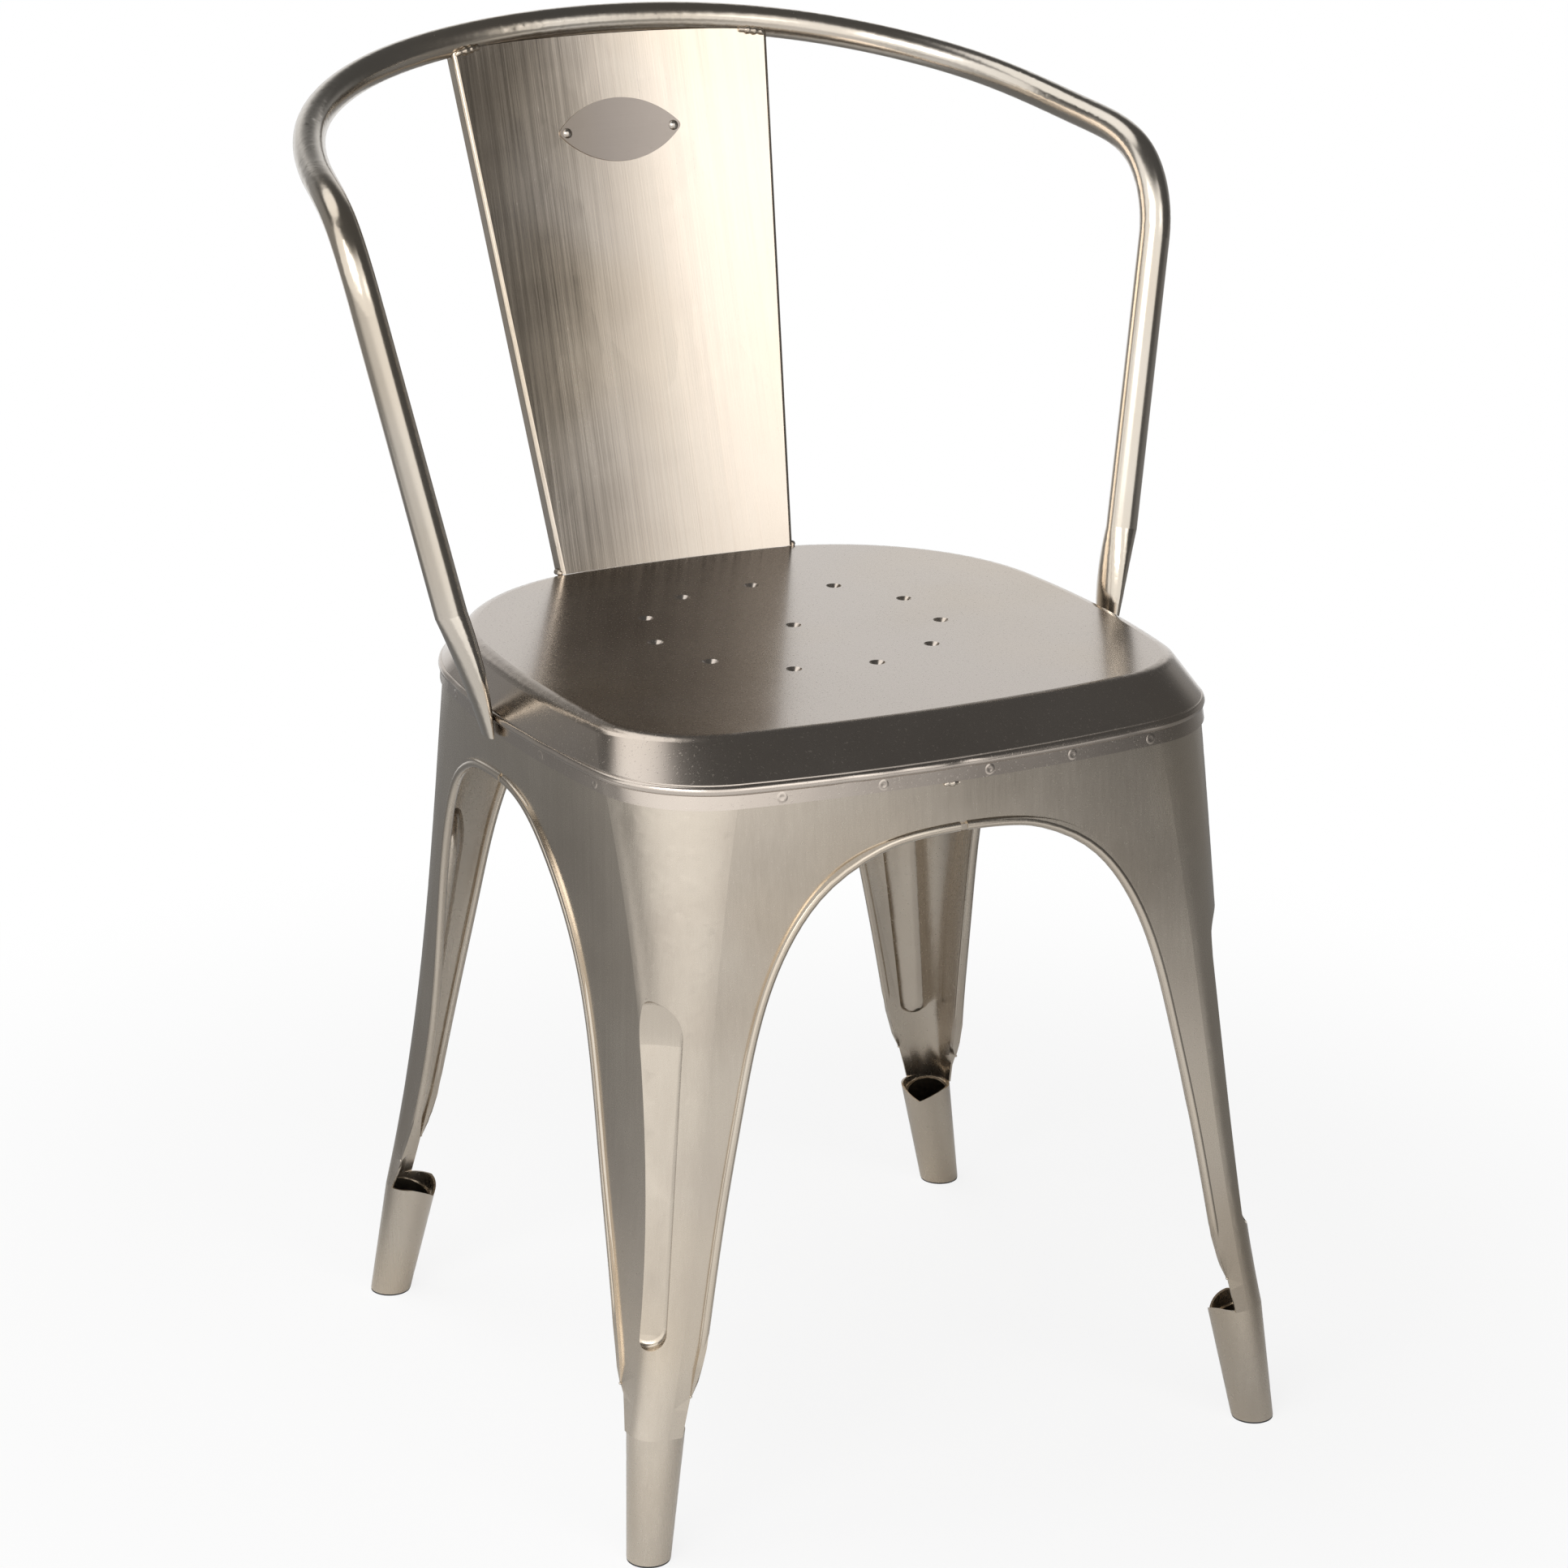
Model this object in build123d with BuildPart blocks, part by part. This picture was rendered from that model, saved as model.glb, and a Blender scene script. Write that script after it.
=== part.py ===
# Dining armchair of pressed sheet steel.
# Seat pan, four pressed legs, bent tube hoop with arms, back splat, cross brace.
# Millimetres, +Z up, the front looks along -Y, +X is the sitter's left arm.
# Origin: on the floor, under the middle of the overall box.
import os
from math import asin, cos, hypot, radians, sin, sqrt

from build123d import *

os.makedirs("parts", exist_ok=True)

# Driving sizes: sheet, tube and fits
sheet = 1.2                 # pressed steel sheet
lap_gap = 0.15              # between lapped sheets before welding
weld_gap = 0.2              # between butted pieces before welding
tube_d = 18.0               # tube of the hoop and arms
tube_wall = 1.4

# Driving sizes: the four-sided leg frame, given at four heights.
# Every level is a rounded square with slightly bowed sides.
level_z = (415.0, 300.0, 190.0, 70.0)
half_top = 190.0            # half width of the aprons at their tops, front and rear
front_half = (half_top, 185.2, 184.8, 199.5)
rear_half = (half_top, 184.0, 182.2, 194.2)
front_y = (217.5, 224.5, 231.5, 239.5)
back_y = (147.0, 148.0, 150.0, 155.0)
side_bow = (650.0, 1200.0, 3000.0, 8000.0)
end_bow = (870.0, 1800.0, 4000.0, 8000.0)
front_corner = (64.0, 34.0, 21.0, 15.8)
rear_corner = (120.0, 66.0, 34.0, 15.5)
seam_y = -42.0              # side seam, where front and rear aprons meet
front_frame = (front_half, front_y, front_corner, seam_y)
rear_frame = (rear_half, back_y, rear_corner, -seam_y)

# Driving sizes: arches between the legs (distance from the seam, height)
arch_top = 381.0
bulb_z = 92.0               # the rolled edges end here, and the sheet runs on into the foot
front_arch = ((78.0, 361.0), (113.0, 312.0), (132.0, 248.0), (148.0, 175.0), (158.0, 120.0),
              (166.0, bulb_z), (171.9, level_z[-1]))
rear_arch = ((75.0, 361.0), (108.5, 312.0), (126.5, 248.0), (143.0, 175.0), (154.5, 120.0),
             (163.0, bulb_z), (169.5, level_z[-1]))
front_side_arch = ((50.0, 358.0), (83.5, 308.0), (104.5, 234.0), (124.5, 166.0), (145.0, 120.0),
                   (161.0, bulb_z), (172.9, level_z[-1]))
rear_side_arch = ((74.0, 362.0), (107.0, 310.0), (125.0, 234.0), (138.0, 166.0), (150.0, 120.0),
                  (162.0, bulb_z), (172.9, level_z[-1]))
hem_w = 3.2                 # width of the rolled edge of the arches
hem_out = 1.7               # how far the roll stands out of the sheet, on both faces
bulb_r = 3.6                # round lower end of each rolled edge
arch_in = 60.0              # the arch cuts start this far inside the aprons
arch_out = 20.0             # and end this far outside
seam_over = 3.0             # the inner room runs past the seams, so that they stay open

# Driving sizes: pressed groove on the outer corner of each leg
groove_low_z = 130.0        # middles of its two round ends
groove_high_z = 289.0
groove_low_half = 11.5      # half widths there
groove_high_half = 17.5
groove_low_r = 38.0         # radii of its hollow bottom
groove_high_r = 60.0
groove_low_depth = 8.0
groove_high_depth = 10.0
groove_blend = 4.0          # radius between the bottom and the walls

# Driving sizes: rolled foot of each leg
front_foot = (191.0, 232.0)
rear_foot = (190.5, 142.0)
foot_r = 12.0
foot_end_z = 1.0            # the steel stops just above the floor
lip_z = 62.0                # lowest point of the mouth's lip
lip_rise = 9.0              # from the lip's point to each side of the foot
mouth_cut = 4.0             # the mouth starts this far outside the middle of the foot
sleeve_low_z = 24.0
sleeve_near_z = 56.0
sleeve_far_z = 69.0
plug_h = 20.0
plug_fit = 0.2

# Driving sizes: seat pan
seat_top = 440.0
rim_z = 421.0               # crease between the sloping wall and the bead
band_low_z = 408.0
rim_flare = 1.2             # the curved aprons leave their tops this much steeper than straight ones
bead_r = 2.6
bead_sink = 1.6             # the bead's middle lies this far inside the wall
bead_z = 417.6
top_half_width = 179.0
top_front = 194.0
top_back = 141.5
top_front_corner = 64.0
top_rear_corner = 134.0
top_side_bow = 700.0
top_end_bow = 900.0
top_edge_r = 10.0
drain_ring_r = 84.6
drain_center_y = -19.4
drain_count = 11
drain_turn = 79.8           # direction of the first hole, degrees from +X
drain_d = 4.2
drain_dish_d = 9.0
drain_drop = 2.0

# Driving sizes: hoop centreline, one half (the other is its mirror image)
arm_lean = (0.200, 0.169, 1.0)
arm_point = (216.7, -20.5, 505.8)
arm_top_z = 637.0
elbow = (247.4, 26.5, 680.5)
arm_back = (240.4, 78.6, 697.0)
side_back = (213.4, 154.6, 713.8)
shoulder = (158.0, 210.3, 729.6)
hoop_back = (0.0, 235.4, 745.8)
tongue_top_z = 474.0        # the round tube starts to flatten here
tongue_mid_z = bead_z       # welded to the bead here
tongue_low_z = 407.0        # cut end
tongue_mid = (19.0, 7.5)
tongue_low = (15.0, 4.6)

# Driving sizes: back splat and its bare plate
splat_low_z = seat_top + weld_gap
splat_low_half = 76.0
splat_low_y = 131.0
splat_high_z = hoop_back[2] - 1.8       # cut back to the tube's underside later
splat_high_half = 103.0
splat_high_y = hoop_back[1] - 10.4
splat_low_bow = 3.0
splat_high_bow = 7.0
splat_flange = 10.0
splat_bend = 2.5            # outer radius of the flange bend
plate_z = splat_high_z - 60.0
plate_len = 80.0
plate_h = 37.5
plate_t = 1.0
plate_tip_r = 3.0
pin_x = plate_len / 2 - 5.5
pin_d = 3.0
pin_head_d = 6.0
pin_head_h = 1.8
pin_tail_h = 0.8
pin_fit = 0.1

# Driving sizes: cross brace under the seat
brace_w = 18.0
brace_t = 2.5
brace_z = 391.0
brace_front = (190.0, 215.0)
brace_rear = (180.0, 128.0)
brace_over = 30.0           # each trimmed half runs this far past the crossing
rivet_d = 6.0
rivet_head_d = 12.0
rivet_head_h = 3.0


def corner_circle(half_w, front, bow_s, bow_f, r, seam):
    """Centre of a corner arc and its two touching points, front right quarter."""
    c1 = (0.0, bow_f - front)
    c2 = (half_w - bow_s, seam)
    d1 = bow_f - r
    d2 = bow_s - r
    dx = c2[0] - c1[0]
    dy = c2[1] - c1[1]
    gap = hypot(dx, dy)
    along = (d1 * d1 - d2 * d2 + gap * gap) / (2 * gap)
    off = sqrt(d1 * d1 - along * along)
    ux = dx / gap
    uy = dy / gap
    sides = [(c1[0] + ux * along - s * uy * off, c1[1] + uy * along + s * ux * off) for s in (1, -1)]
    c = max(sides, key=lambda q: q[0] - q[1])
    t1 = (c1[0] + (c[0] - c1[0]) * bow_f / d1, c1[1] + (c[1] - c1[1]) * bow_f / d1)
    t2 = (c2[0] + (c[0] - c2[0]) * bow_s / d2, c2[1] + (c[1] - c2[1]) * bow_s / d2)
    return c, t1, t2


def arc_middle(center, p, q):
    """Point halfway along the short arc from p to q."""
    r = hypot(p[0] - center[0], p[1] - center[1])
    mx = (p[0] + q[0]) / 2 - center[0]
    my = (p[1] + q[1]) / 2 - center[1]
    m = hypot(mx, my)
    return (center[0] + mx * r / m, center[1] + my * r / m)


def quarter_face(i, frame, inset, over):
    """Closed quarter of the frame at level i, inset from the outer skin."""
    halves, ends, corners, seam = frame
    half_w = halves[i] - inset
    front = ends[i] - inset
    bow_s = side_bow[i] - inset
    bow_f = end_bow[i] - inset
    r = corners[i] - inset
    c, t1, t2 = corner_circle(half_w, front, bow_s, bow_f, r, seam)
    f_mid = (0.0, bow_f - front)
    s_mid = (half_w - bow_s, seam)
    start = (-over, f_mid[1] - sqrt(bow_f**2 - over**2))
    end = (s_mid[0] + sqrt(bow_s**2 - over**2), seam + over)
    with BuildSketch(Plane.XY.offset(level_z[i])) as face:
        with BuildLine():
            ThreePointArc(start, arc_middle(f_mid, start, t1), t1)
            ThreePointArc(t1, arc_middle(c, t1, t2), t2)
            ThreePointArc(t2, arc_middle(s_mid, t2, end), end)
            Line(end, (-over, seam + over))
            Line((-over, seam + over), start)
        make_face()
    return face.sketch


def quarter_solid(frame, inset, over):
    """Space inside one quarter of the frame, from the rolled foot to the seat."""
    with BuildPart() as body:
        loft([quarter_face(i, frame, inset, over) for i in range(len(level_z))])
    return body.part


def rim_wire(half_w, front, back, bow_s, bow_e, r_front, r_rear):
    """Arcs of a full closed outline; called inside a BuildLine."""
    cf, f1, f2 = corner_circle(half_w, front, bow_s, bow_e, r_front, seam_y)
    cr, b1, b2 = corner_circle(half_w, back, bow_s, bow_e, r_rear, -seam_y)
    cr, b1, b2 = [(p[0], -p[1]) for p in (cr, b1, b2)]
    mid_f = arc_middle(cf, f1, f2)
    mid_r = arc_middle(cr, b1, b2)
    mid_s = arc_middle((half_w - bow_s, seam_y), f2, b2)
    ThreePointArc((-f1[0], f1[1]), (0, -front), f1)
    ThreePointArc(f1, mid_f, f2)
    ThreePointArc(f2, mid_s, b2)
    ThreePointArc(b2, mid_r, b1)
    ThreePointArc(b1, (0, back), (-b1[0], b1[1]))
    ThreePointArc((-b1[0], b1[1]), (-mid_r[0], mid_r[1]), (-b2[0], b2[1]))
    ThreePointArc((-b2[0], b2[1]), (-mid_s[0], mid_s[1]), (-f2[0], f2[1]))
    ThreePointArc((-f2[0], f2[1]), (-mid_f[0], mid_f[1]), (-f1[0], f1[1]))


def rim_arcs(z, grow):
    """Outline of the aprons near their tops, grown outwards; called inside a BuildLine."""
    part = rim_flare * (level_z[0] - z) / (level_z[0] - level_z[1])
    sizes = (front_half, front_y, back_y, side_bow, end_bow, front_corner, rear_corner)
    rim_wire(*[v[0] + (v[1] - v[0]) * part + grow for v in sizes])


def rim_face(z, grow):
    """Closed outline around the aprons near their tops."""
    with BuildSketch(Plane.XY.offset(z)) as face:
        with BuildLine():
            rim_arcs(z, grow)
        make_face()
    return face.sketch


def top_face(z, inset):
    """Outline of the flat seat top."""
    with BuildSketch(Plane.XY.offset(z)) as face:
        with BuildLine():
            rim_wire(top_half_width - inset, top_front - inset, top_back - inset, top_side_bow - inset,
                     top_end_bow - inset, top_front_corner - inset, top_rear_corner - inset)
        make_face()
    return face.sketch


def groove_tool(low, high, grow):
    """Press tool of the groove: a tapering round bar, cut to the groove's outline, with soft edges."""
    r_low = groove_low_r + grow
    r_high = groove_high_r + grow
    axis = high - low
    span = axis.length
    lean = (r_high - r_low) / span
    rise = sqrt(1 - lean * lean)
    side = Vector(0, 0, 1).cross(axis).normalized()
    plane = Plane(origin=low, x_dir=axis, z_dir=side)
    p1 = (-r_low * lean, r_low * rise)
    p2 = (span - r_high * lean, r_high * rise)
    with BuildPart() as bar:
        with BuildSketch(plane):
            with BuildLine():
                Line((-r_low, 0), (span + r_high, 0))
                ThreePointArc((span + r_high, 0), (span + r_high * cos(radians(45)), r_high * sin(radians(45))), p2)
                Line(p2, p1)
                ThreePointArc(p1, (-r_low * cos(radians(45)), r_low * sin(radians(45))), (-r_low, 0))
            make_face()
        revolve(axis=Axis(low, axis), revolution_arc=360)
    with BuildPart() as tool:
        with BuildSketch(Plane(origin=low, x_dir=axis, z_dir=side.cross(axis))):
            Circle(groove_low_half + grow)
            with Locations((span, 0)):
                Circle(groove_high_half + grow)
            make_hull()
        extrude(amount=2 * r_high, both=True)
        add(bar.part, mode=Mode.INTERSECT)
        bottom = tool.edges().filter_by(lambda e: (e @ 0.5 - low).dot(diag) < 0)
        fillet(bottom, groove_blend + grow)
    return tool.part


def skin_corner(z, frame):
    """Outermost diagonal point of the corner at height z, between two levels."""
    halves, ends, corners, seam = frame
    k = max(i for i in range(len(level_z) - 1) if level_z[i] >= z)
    part = (level_z[k] - z) / (level_z[k] - level_z[k + 1])
    points = []
    for i in (k, k + 1):
        c, _, _ = corner_circle(halves[i], ends[i], side_bow[i], end_bow[i], corners[i], seam)
        points.append(Vector(c[0], c[1], z) + diag * corners[i])
    return points[0] * (1 - part) + points[1] * part


diag = Vector(1, -1, 0).normalized()        # from the middle out through the front right corner


def arch_cutter(points, plane, reach, grow):
    """Open space under one half arch, starting at the seam, with its edge moved up and out."""
    top = arch_top + grow
    low = (points[-1][0] + grow, points[-1][1])
    inner = [(p[0] + grow, p[1] + grow) for p in points[:-1]]
    run_out = (low[0] - inner[-1][0], low[1] - inner[-1][1])
    with BuildPart() as cut:
        with BuildSketch(plane):
            with BuildLine():
                curve = Spline((0, top), *inner, low, tangents=((1, 0), run_out))
                Polyline(curve @ 1, (low[0] + 2, low[1] - 8), (-6, low[1] - 8), (-6, top), (0, top))
            make_face()
        extrude(amount=reach)
    return cut.part


def foot_circle(z, axis, shrink):
    """Round section of a rolled foot at height z."""
    low, high, r_high = axis
    part = z / level_z[-1]
    center = low * (1 - part) + high * part
    r = foot_r + (r_high - foot_r) * part - shrink
    with BuildSketch(Plane.XY.offset(z)) as face:
        with Locations((center.X, center.Y)):
            Circle(r)
    return face.sketch


def foot_cone(z_low, z_high, axis, shrink):
    """Tapering, leaning round body between two heights."""
    with BuildPart() as cone:
        loft([foot_circle(z, axis, shrink) for z in (z_low, z_high)])
    return cone.part


def foot_axis(frame, foot):
    """Low and high point, in plan, of the line through a rolled foot, and its upper radius."""
    halves, ends, corners, seam = frame
    c, _, _ = corner_circle(halves[-1], ends[-1], side_bow[-1], end_bow[-1], corners[-1], seam)
    return Vector(foot[0], -foot[1], 0), Vector(c[0], c[1], 0), corners[-1]


def rolled_edge(frame, points, plane, reach):
    """Thick rim along one arch, from the seam down to its bulb."""
    edge = arch_cutter(points[:-1], plane, reach, 0)
    wider = arch_cutter(points[:-1], plane, reach, hem_w)
    with BuildPart() as rim:
        add(quarter_solid(frame, -hem_out, 0) & wider)
        add(quarter_solid(frame, sheet + hem_out, seam_over), mode=Mode.SUBTRACT)
        add(edge, mode=Mode.SUBTRACT)
        split(bisect_by=Plane.XY.offset(bulb_z), keep=Keep.TOP)
    return rim.part


def make_leg(frame, end_points, side_points, foot):
    """One pressed leg, built as the front right one."""
    halves, ends, corners, seam = frame
    full = quarter_solid(frame, 0, 0)
    room = quarter_solid(frame, sheet, seam_over)
    low_point = skin_corner(groove_low_z, frame) + diag * (groove_low_r - groove_low_depth)
    high_point = skin_corner(groove_high_z, frame) + diag * (groove_high_r - groove_high_depth)
    press = groove_tool(low_point, high_point, 0)
    swell = groove_tool(low_point, high_point, sheet)
    end_plane = Plane(origin=(0, arch_in - min(ends), 0), x_dir=(1, 0, 0), z_dir=(0, -1, 0))
    side_plane = Plane(origin=(min(halves) - arch_in, seam, 0), x_dir=(0, -1, 0), z_dir=(-1, 0, 0))
    end_reach = max(ends) - min(ends) + arch_in + arch_out
    side_reach = min(halves) - max(halves) - arch_in - arch_out
    end_cut = arch_cutter(end_points, end_plane, end_reach, hem_w / 2)
    side_cut = arch_cutter(side_points, side_plane, side_reach, hem_w / 2)
    end_roll = rolled_edge(frame, end_points, end_plane, end_reach)
    side_roll = rolled_edge(frame, side_points, side_plane, side_reach)
    part = (level_z[-2] - bulb_z) / (level_z[-2] - level_z[-1])
    mid_x = halves[-2] + (halves[-1] - halves[-2]) * part - sheet / 2
    mid_y = ends[-2] + (ends[-1] - ends[-2]) * part - sheet / 2
    end_x = end_points[-2][0] + hem_w / 2
    side_d = side_points[-2][0] + hem_w / 2
    end_bulb = (end_x, end_x ** 2 / (2 * end_bow[-1]) - mid_y, bulb_z)
    side_bulb = (mid_x - side_d ** 2 / (2 * side_bow[-1]), seam - side_d, bulb_z)
    axis = foot_axis(frame, foot)
    top_z = level_z[-1]
    foot_skin = foot_cone(foot_end_z, top_z, axis, 0)
    foot_bore = foot_cone(0, top_z, axis, sheet)
    mouth = Plane(origin=axis[1], x_dir=Vector(0, 0, 1).cross(-diag), z_dir=-diag)
    lip_half = axis[2] * (top_z - lip_z) / lip_rise
    with BuildPart() as leg:
        add(full)
        add(room, mode=Mode.SUBTRACT)
        add(swell & full)
        add(press, mode=Mode.SUBTRACT)
        add(end_cut, mode=Mode.SUBTRACT)
        add(side_cut, mode=Mode.SUBTRACT)
        add(end_roll)
        add(side_roll)
        add(foot_skin)
        add(foot_bore, mode=Mode.SUBTRACT)
        with BuildSketch(mouth.offset(-mouth_cut)):
            Polygon((-lip_half, top_z), (0, lip_z), (lip_half, top_z), align=None)
        extrude(amount=3 * axis[2], mode=Mode.SUBTRACT)
        with Locations(end_bulb, side_bulb):
            Sphere(bulb_r)
    return leg.part


def make_sleeve(axis):
    """Stiffening sleeve inside a rolled foot, its top cut on the slant."""
    outer = foot_cone(sleeve_low_z, sleeve_far_z + 5, axis, sheet + lap_gap)
    bore = foot_cone(sleeve_low_z, sleeve_far_z + 5, axis, 2 * sheet + lap_gap)
    rise = sleeve_far_z - sleeve_near_z
    normal = Vector(0, 0, 2 * axis[2]) - diag * rise
    mid = axis[1] + Vector(0, 0, (sleeve_near_z + sleeve_far_z) / 2)
    with BuildPart() as sleeve:
        add(outer)
        add(bore, mode=Mode.SUBTRACT)
        split(bisect_by=Plane(origin=mid, z_dir=normal), keep=Keep.BOTTOM)
    return sleeve.part


def make_plug(axis):
    """Rubber plug pressed into the foot end; its disc stands on the floor."""
    stem = foot_cone(foot_end_z, plug_h, axis, sheet + plug_fit)
    disc = foot_cone(0, foot_end_z, axis, plug_fit)
    with BuildPart() as plug:
        add(stem)
        chamfer(plug.edges().group_by(Axis.Z)[-1], 1.5)
        add(disc)
    return plug.part


def dome_middle(a, h):
    """Halfway point, out and up, on a round head of radius a and height h."""
    r = (a * a + h * h) / (2 * h)
    turn = asin(a / r) / 2
    return r * sin(turn), r * cos(turn) - (r - h)


def place(piece, label, rear, left):
    """Mirror a front right piece to its own corner and write it out."""
    with BuildPart() as placed:
        add(piece)
        if rear:
            mirror(about=Plane.XZ, mode=Mode.REPLACE)
        if left:
            mirror(about=Plane.YZ, mode=Mode.REPLACE)
    placed.part.label = label
    export_step(placed.part, f"parts/{label}.step")


# Legs, sleeves and plugs, one set for each corner
for rear, frame, end_points, side_points, foot in (
    (False, front_frame, front_arch, front_side_arch, front_foot),
    (True, rear_frame, rear_arch, rear_side_arch, rear_foot),
):
    corner_axis = foot_axis(frame, foot)
    corner_leg = make_leg(frame, end_points, side_points, foot)
    corner_sleeve = make_sleeve(corner_axis)
    corner_plug = make_plug(corner_axis)
    for left in (False, True):
        where = ("rear" if rear else "front") + ("_left" if left else "_right")
        place(corner_leg, "leg_" + where, rear, left)
        place(corner_sleeve, "foot_sleeve_" + where, rear, left)
        place(corner_plug, "foot_plug_" + where, rear, left)

# Seat pan: flat top, sloping wall, bead and band that laps over the apron tops
band_in = lap_gap
band_out = lap_gap + sheet
pan_wall = [top_face(seat_top, 0), rim_face(rim_z, band_out)]
pan_room = [top_face(seat_top - sheet, sheet * 0.6), rim_face(rim_z, band_in)]
band_outline = [rim_face(rim_z, band_out), rim_face(band_low_z, band_out)]
band_room = [rim_face(rim_z, band_in), rim_face(band_low_z, band_in)]
with BuildPart() as pan_inside:
    loft(pan_room, ruled=True)
    fillet(pan_inside.edges().group_by(Axis.Z)[-1], top_edge_r - sheet)
    loft(band_room, ruled=True)
with BuildLine(Plane.XY.offset(bead_z)) as bead_line:
    rim_arcs(bead_z, band_out - bead_sink)
bead_path = bead_line.wires()[0]
with BuildPart() as bead:
    with BuildSketch(Plane(origin=bead_path @ 0, z_dir=bead_path % 0)):
        Circle(bead_r)
    sweep(path=bead_path)
with BuildPart() as drain_cut:
    with BuildSketch(Plane.XZ):
        Polygon((0, 1), (drain_dish_d / 2, 1), (drain_dish_d / 2, 0), (drain_d / 2, -drain_drop),
                (drain_d / 2, -9), (0, -9), align=None)
    revolve(axis=Axis.Z)
with BuildPart() as drain_collar:
    with BuildSketch(Plane.XZ):
        Polygon((0, 0), (drain_dish_d / 2 + sheet, 0), (drain_dish_d / 2 + sheet, -sheet),
                (drain_d / 2 + sheet, -drain_drop - sheet), (0, -drain_drop - sheet), align=None)
    revolve(axis=Axis.Z)
drain_spots = [(0.0, drain_center_y, seat_top)]
for k in range(drain_count):
    turn = radians(drain_turn - 360 / drain_count * k)
    drain_spots.append((drain_ring_r * cos(turn), drain_center_y + drain_ring_r * sin(turn), seat_top))
with BuildPart() as seat_pan:
    loft(pan_wall, ruled=True)
    fillet(seat_pan.edges().group_by(Axis.Z)[-1], top_edge_r)
    loft(band_outline, ruled=True)
    add(bead.part)
    add(pan_inside.part, mode=Mode.SUBTRACT)
    with Locations(*drain_spots):
        add(drain_collar.part)
    with Locations(*drain_spots):
        add(drain_cut.part, mode=Mode.SUBTRACT)
seat_pan.part.label = "seat_pan"
export_step(seat_pan.part, "parts/seat_pan.step")


def arm_at(z, side):
    """Point on the straight arm centreline."""
    up = z - arm_point[2]
    return Vector(side * (arm_point[0] + arm_lean[0] * up), arm_point[1] + arm_lean[1] * up, z)


def other(p):
    """Mirror point on the left side."""
    return (-p[0], p[1], p[2])


# Hoop: one bent tube from arm to arm, with both ends pressed flat
half = [elbow, arm_back, side_back, shoulder]
bend = [arm_at(arm_top_z, 1), *half, hoop_back, *[other(p) for p in reversed(half)], arm_at(arm_top_z, -1)]
start_dir = arm_lean
stop_dir = (arm_lean[0], -arm_lean[1], -arm_lean[2])
with BuildLine() as hoop_line:
    Line(arm_at(tongue_top_z, 1), arm_at(arm_top_z, 1))
    Spline(*bend, tangents=(start_dir, stop_dir), tangent_scalars=(1, 1))
    Line(arm_at(arm_top_z, -1), arm_at(tongue_top_z, -1))
hoop_path = hoop_line.wires()[0]
hoop_start = Plane(origin=hoop_path @ 0, z_dir=hoop_path % 0)


def along_hoop(r):
    """Solid round bar that follows the hoop."""
    with BuildPart() as bar:
        with BuildSketch(hoop_start):
            Circle(r)
        sweep(path=hoop_path)
    return bar.part


hoop_space = along_hoop(tube_d / 2 + weld_gap)
hoop_outer = along_hoop(tube_d / 2)
hoop_bore = along_hoop(tube_d / 2 - tube_wall)
bead_out = half_top + band_out + bead_r - bead_sink


def tongue(side):
    """End of the hoop, pressed from the round tube to a flat blade."""
    root = arm_at(tongue_top_z, side)
    mid_x = side * (bead_out + weld_gap + tongue_mid[1] / 2)
    low_x = side * (bead_out + weld_gap + tongue_low[1] / 2)
    with BuildPart() as blade:
        with BuildSketch(Plane(origin=root, x_dir=(0, 1, 0), z_dir=(side * arm_lean[0], arm_lean[1], arm_lean[2]))):
            Circle(tube_d / 2)
        with BuildSketch(Plane(origin=(mid_x, arm_at(tongue_mid_z, side).Y, tongue_mid_z), x_dir=(0, 1, 0))):
            Ellipse(tongue_mid[0] / 2, tongue_mid[1] / 2)
        with BuildSketch(Plane(origin=(low_x, arm_at(tongue_low_z, side).Y, tongue_low_z), x_dir=(0, 1, 0))):
            Ellipse(tongue_low[0] / 2, tongue_low[1] / 2)
        loft()
    return blade.part


tongues = [tongue(side) for side in (1, -1)]
with BuildPart() as back_hoop:
    add(hoop_outer)
    add(tongues)
    add(hoop_bore, mode=Mode.SUBTRACT)
back_hoop.part.label = "back_hoop"
export_step(back_hoop.part, "parts/back_hoop.step")


def splat_at(z):
    """Half width, edge position and bow of the splat at height z."""
    part = (z - splat_low_z) / (splat_high_z - splat_low_z)
    half_w = splat_low_half + (splat_high_half - splat_low_half) * part
    y = splat_low_y + (splat_high_y - splat_low_y) * part
    bow = splat_low_bow + (splat_high_bow - splat_low_bow) * part
    return half_w, y, bow


def splat_face(z):
    """Thin section of the splat with its two flanges, at height z."""
    w, y, bow = splat_at(z)
    b = splat_bend
    s = sheet
    k = b * (1 - cos(radians(45)))
    j = (b - s) * (1 - cos(radians(45)))
    tip = y + splat_flange
    with BuildSketch(Plane.XY.offset(z)) as face:
        with BuildLine():
            ThreePointArc((-w + b, y), (0, y + bow), (w - b, y))
            ThreePointArc((w - b, y), (w - k, y + k), (w, y + b))
            Polyline((w, y + b), (w, tip), (w - s, tip), (w - s, y + b))
            ThreePointArc((w - s, y + b), (w - s - j, y + s + j), (w - b, y + s))
            ThreePointArc((w - b, y + s), (0, y + bow + s), (-w + b, y + s))
            ThreePointArc((-w + b, y + s), (-w + s + j, y + s + j), (-w + s, y + b))
            Polyline((-w + s, y + b), (-w + s, tip), (-w, tip), (-w, y + b))
            ThreePointArc((-w, y + b), (-w + k, y + k), (-w + b, y))
        make_face()
    return face.sketch


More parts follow.
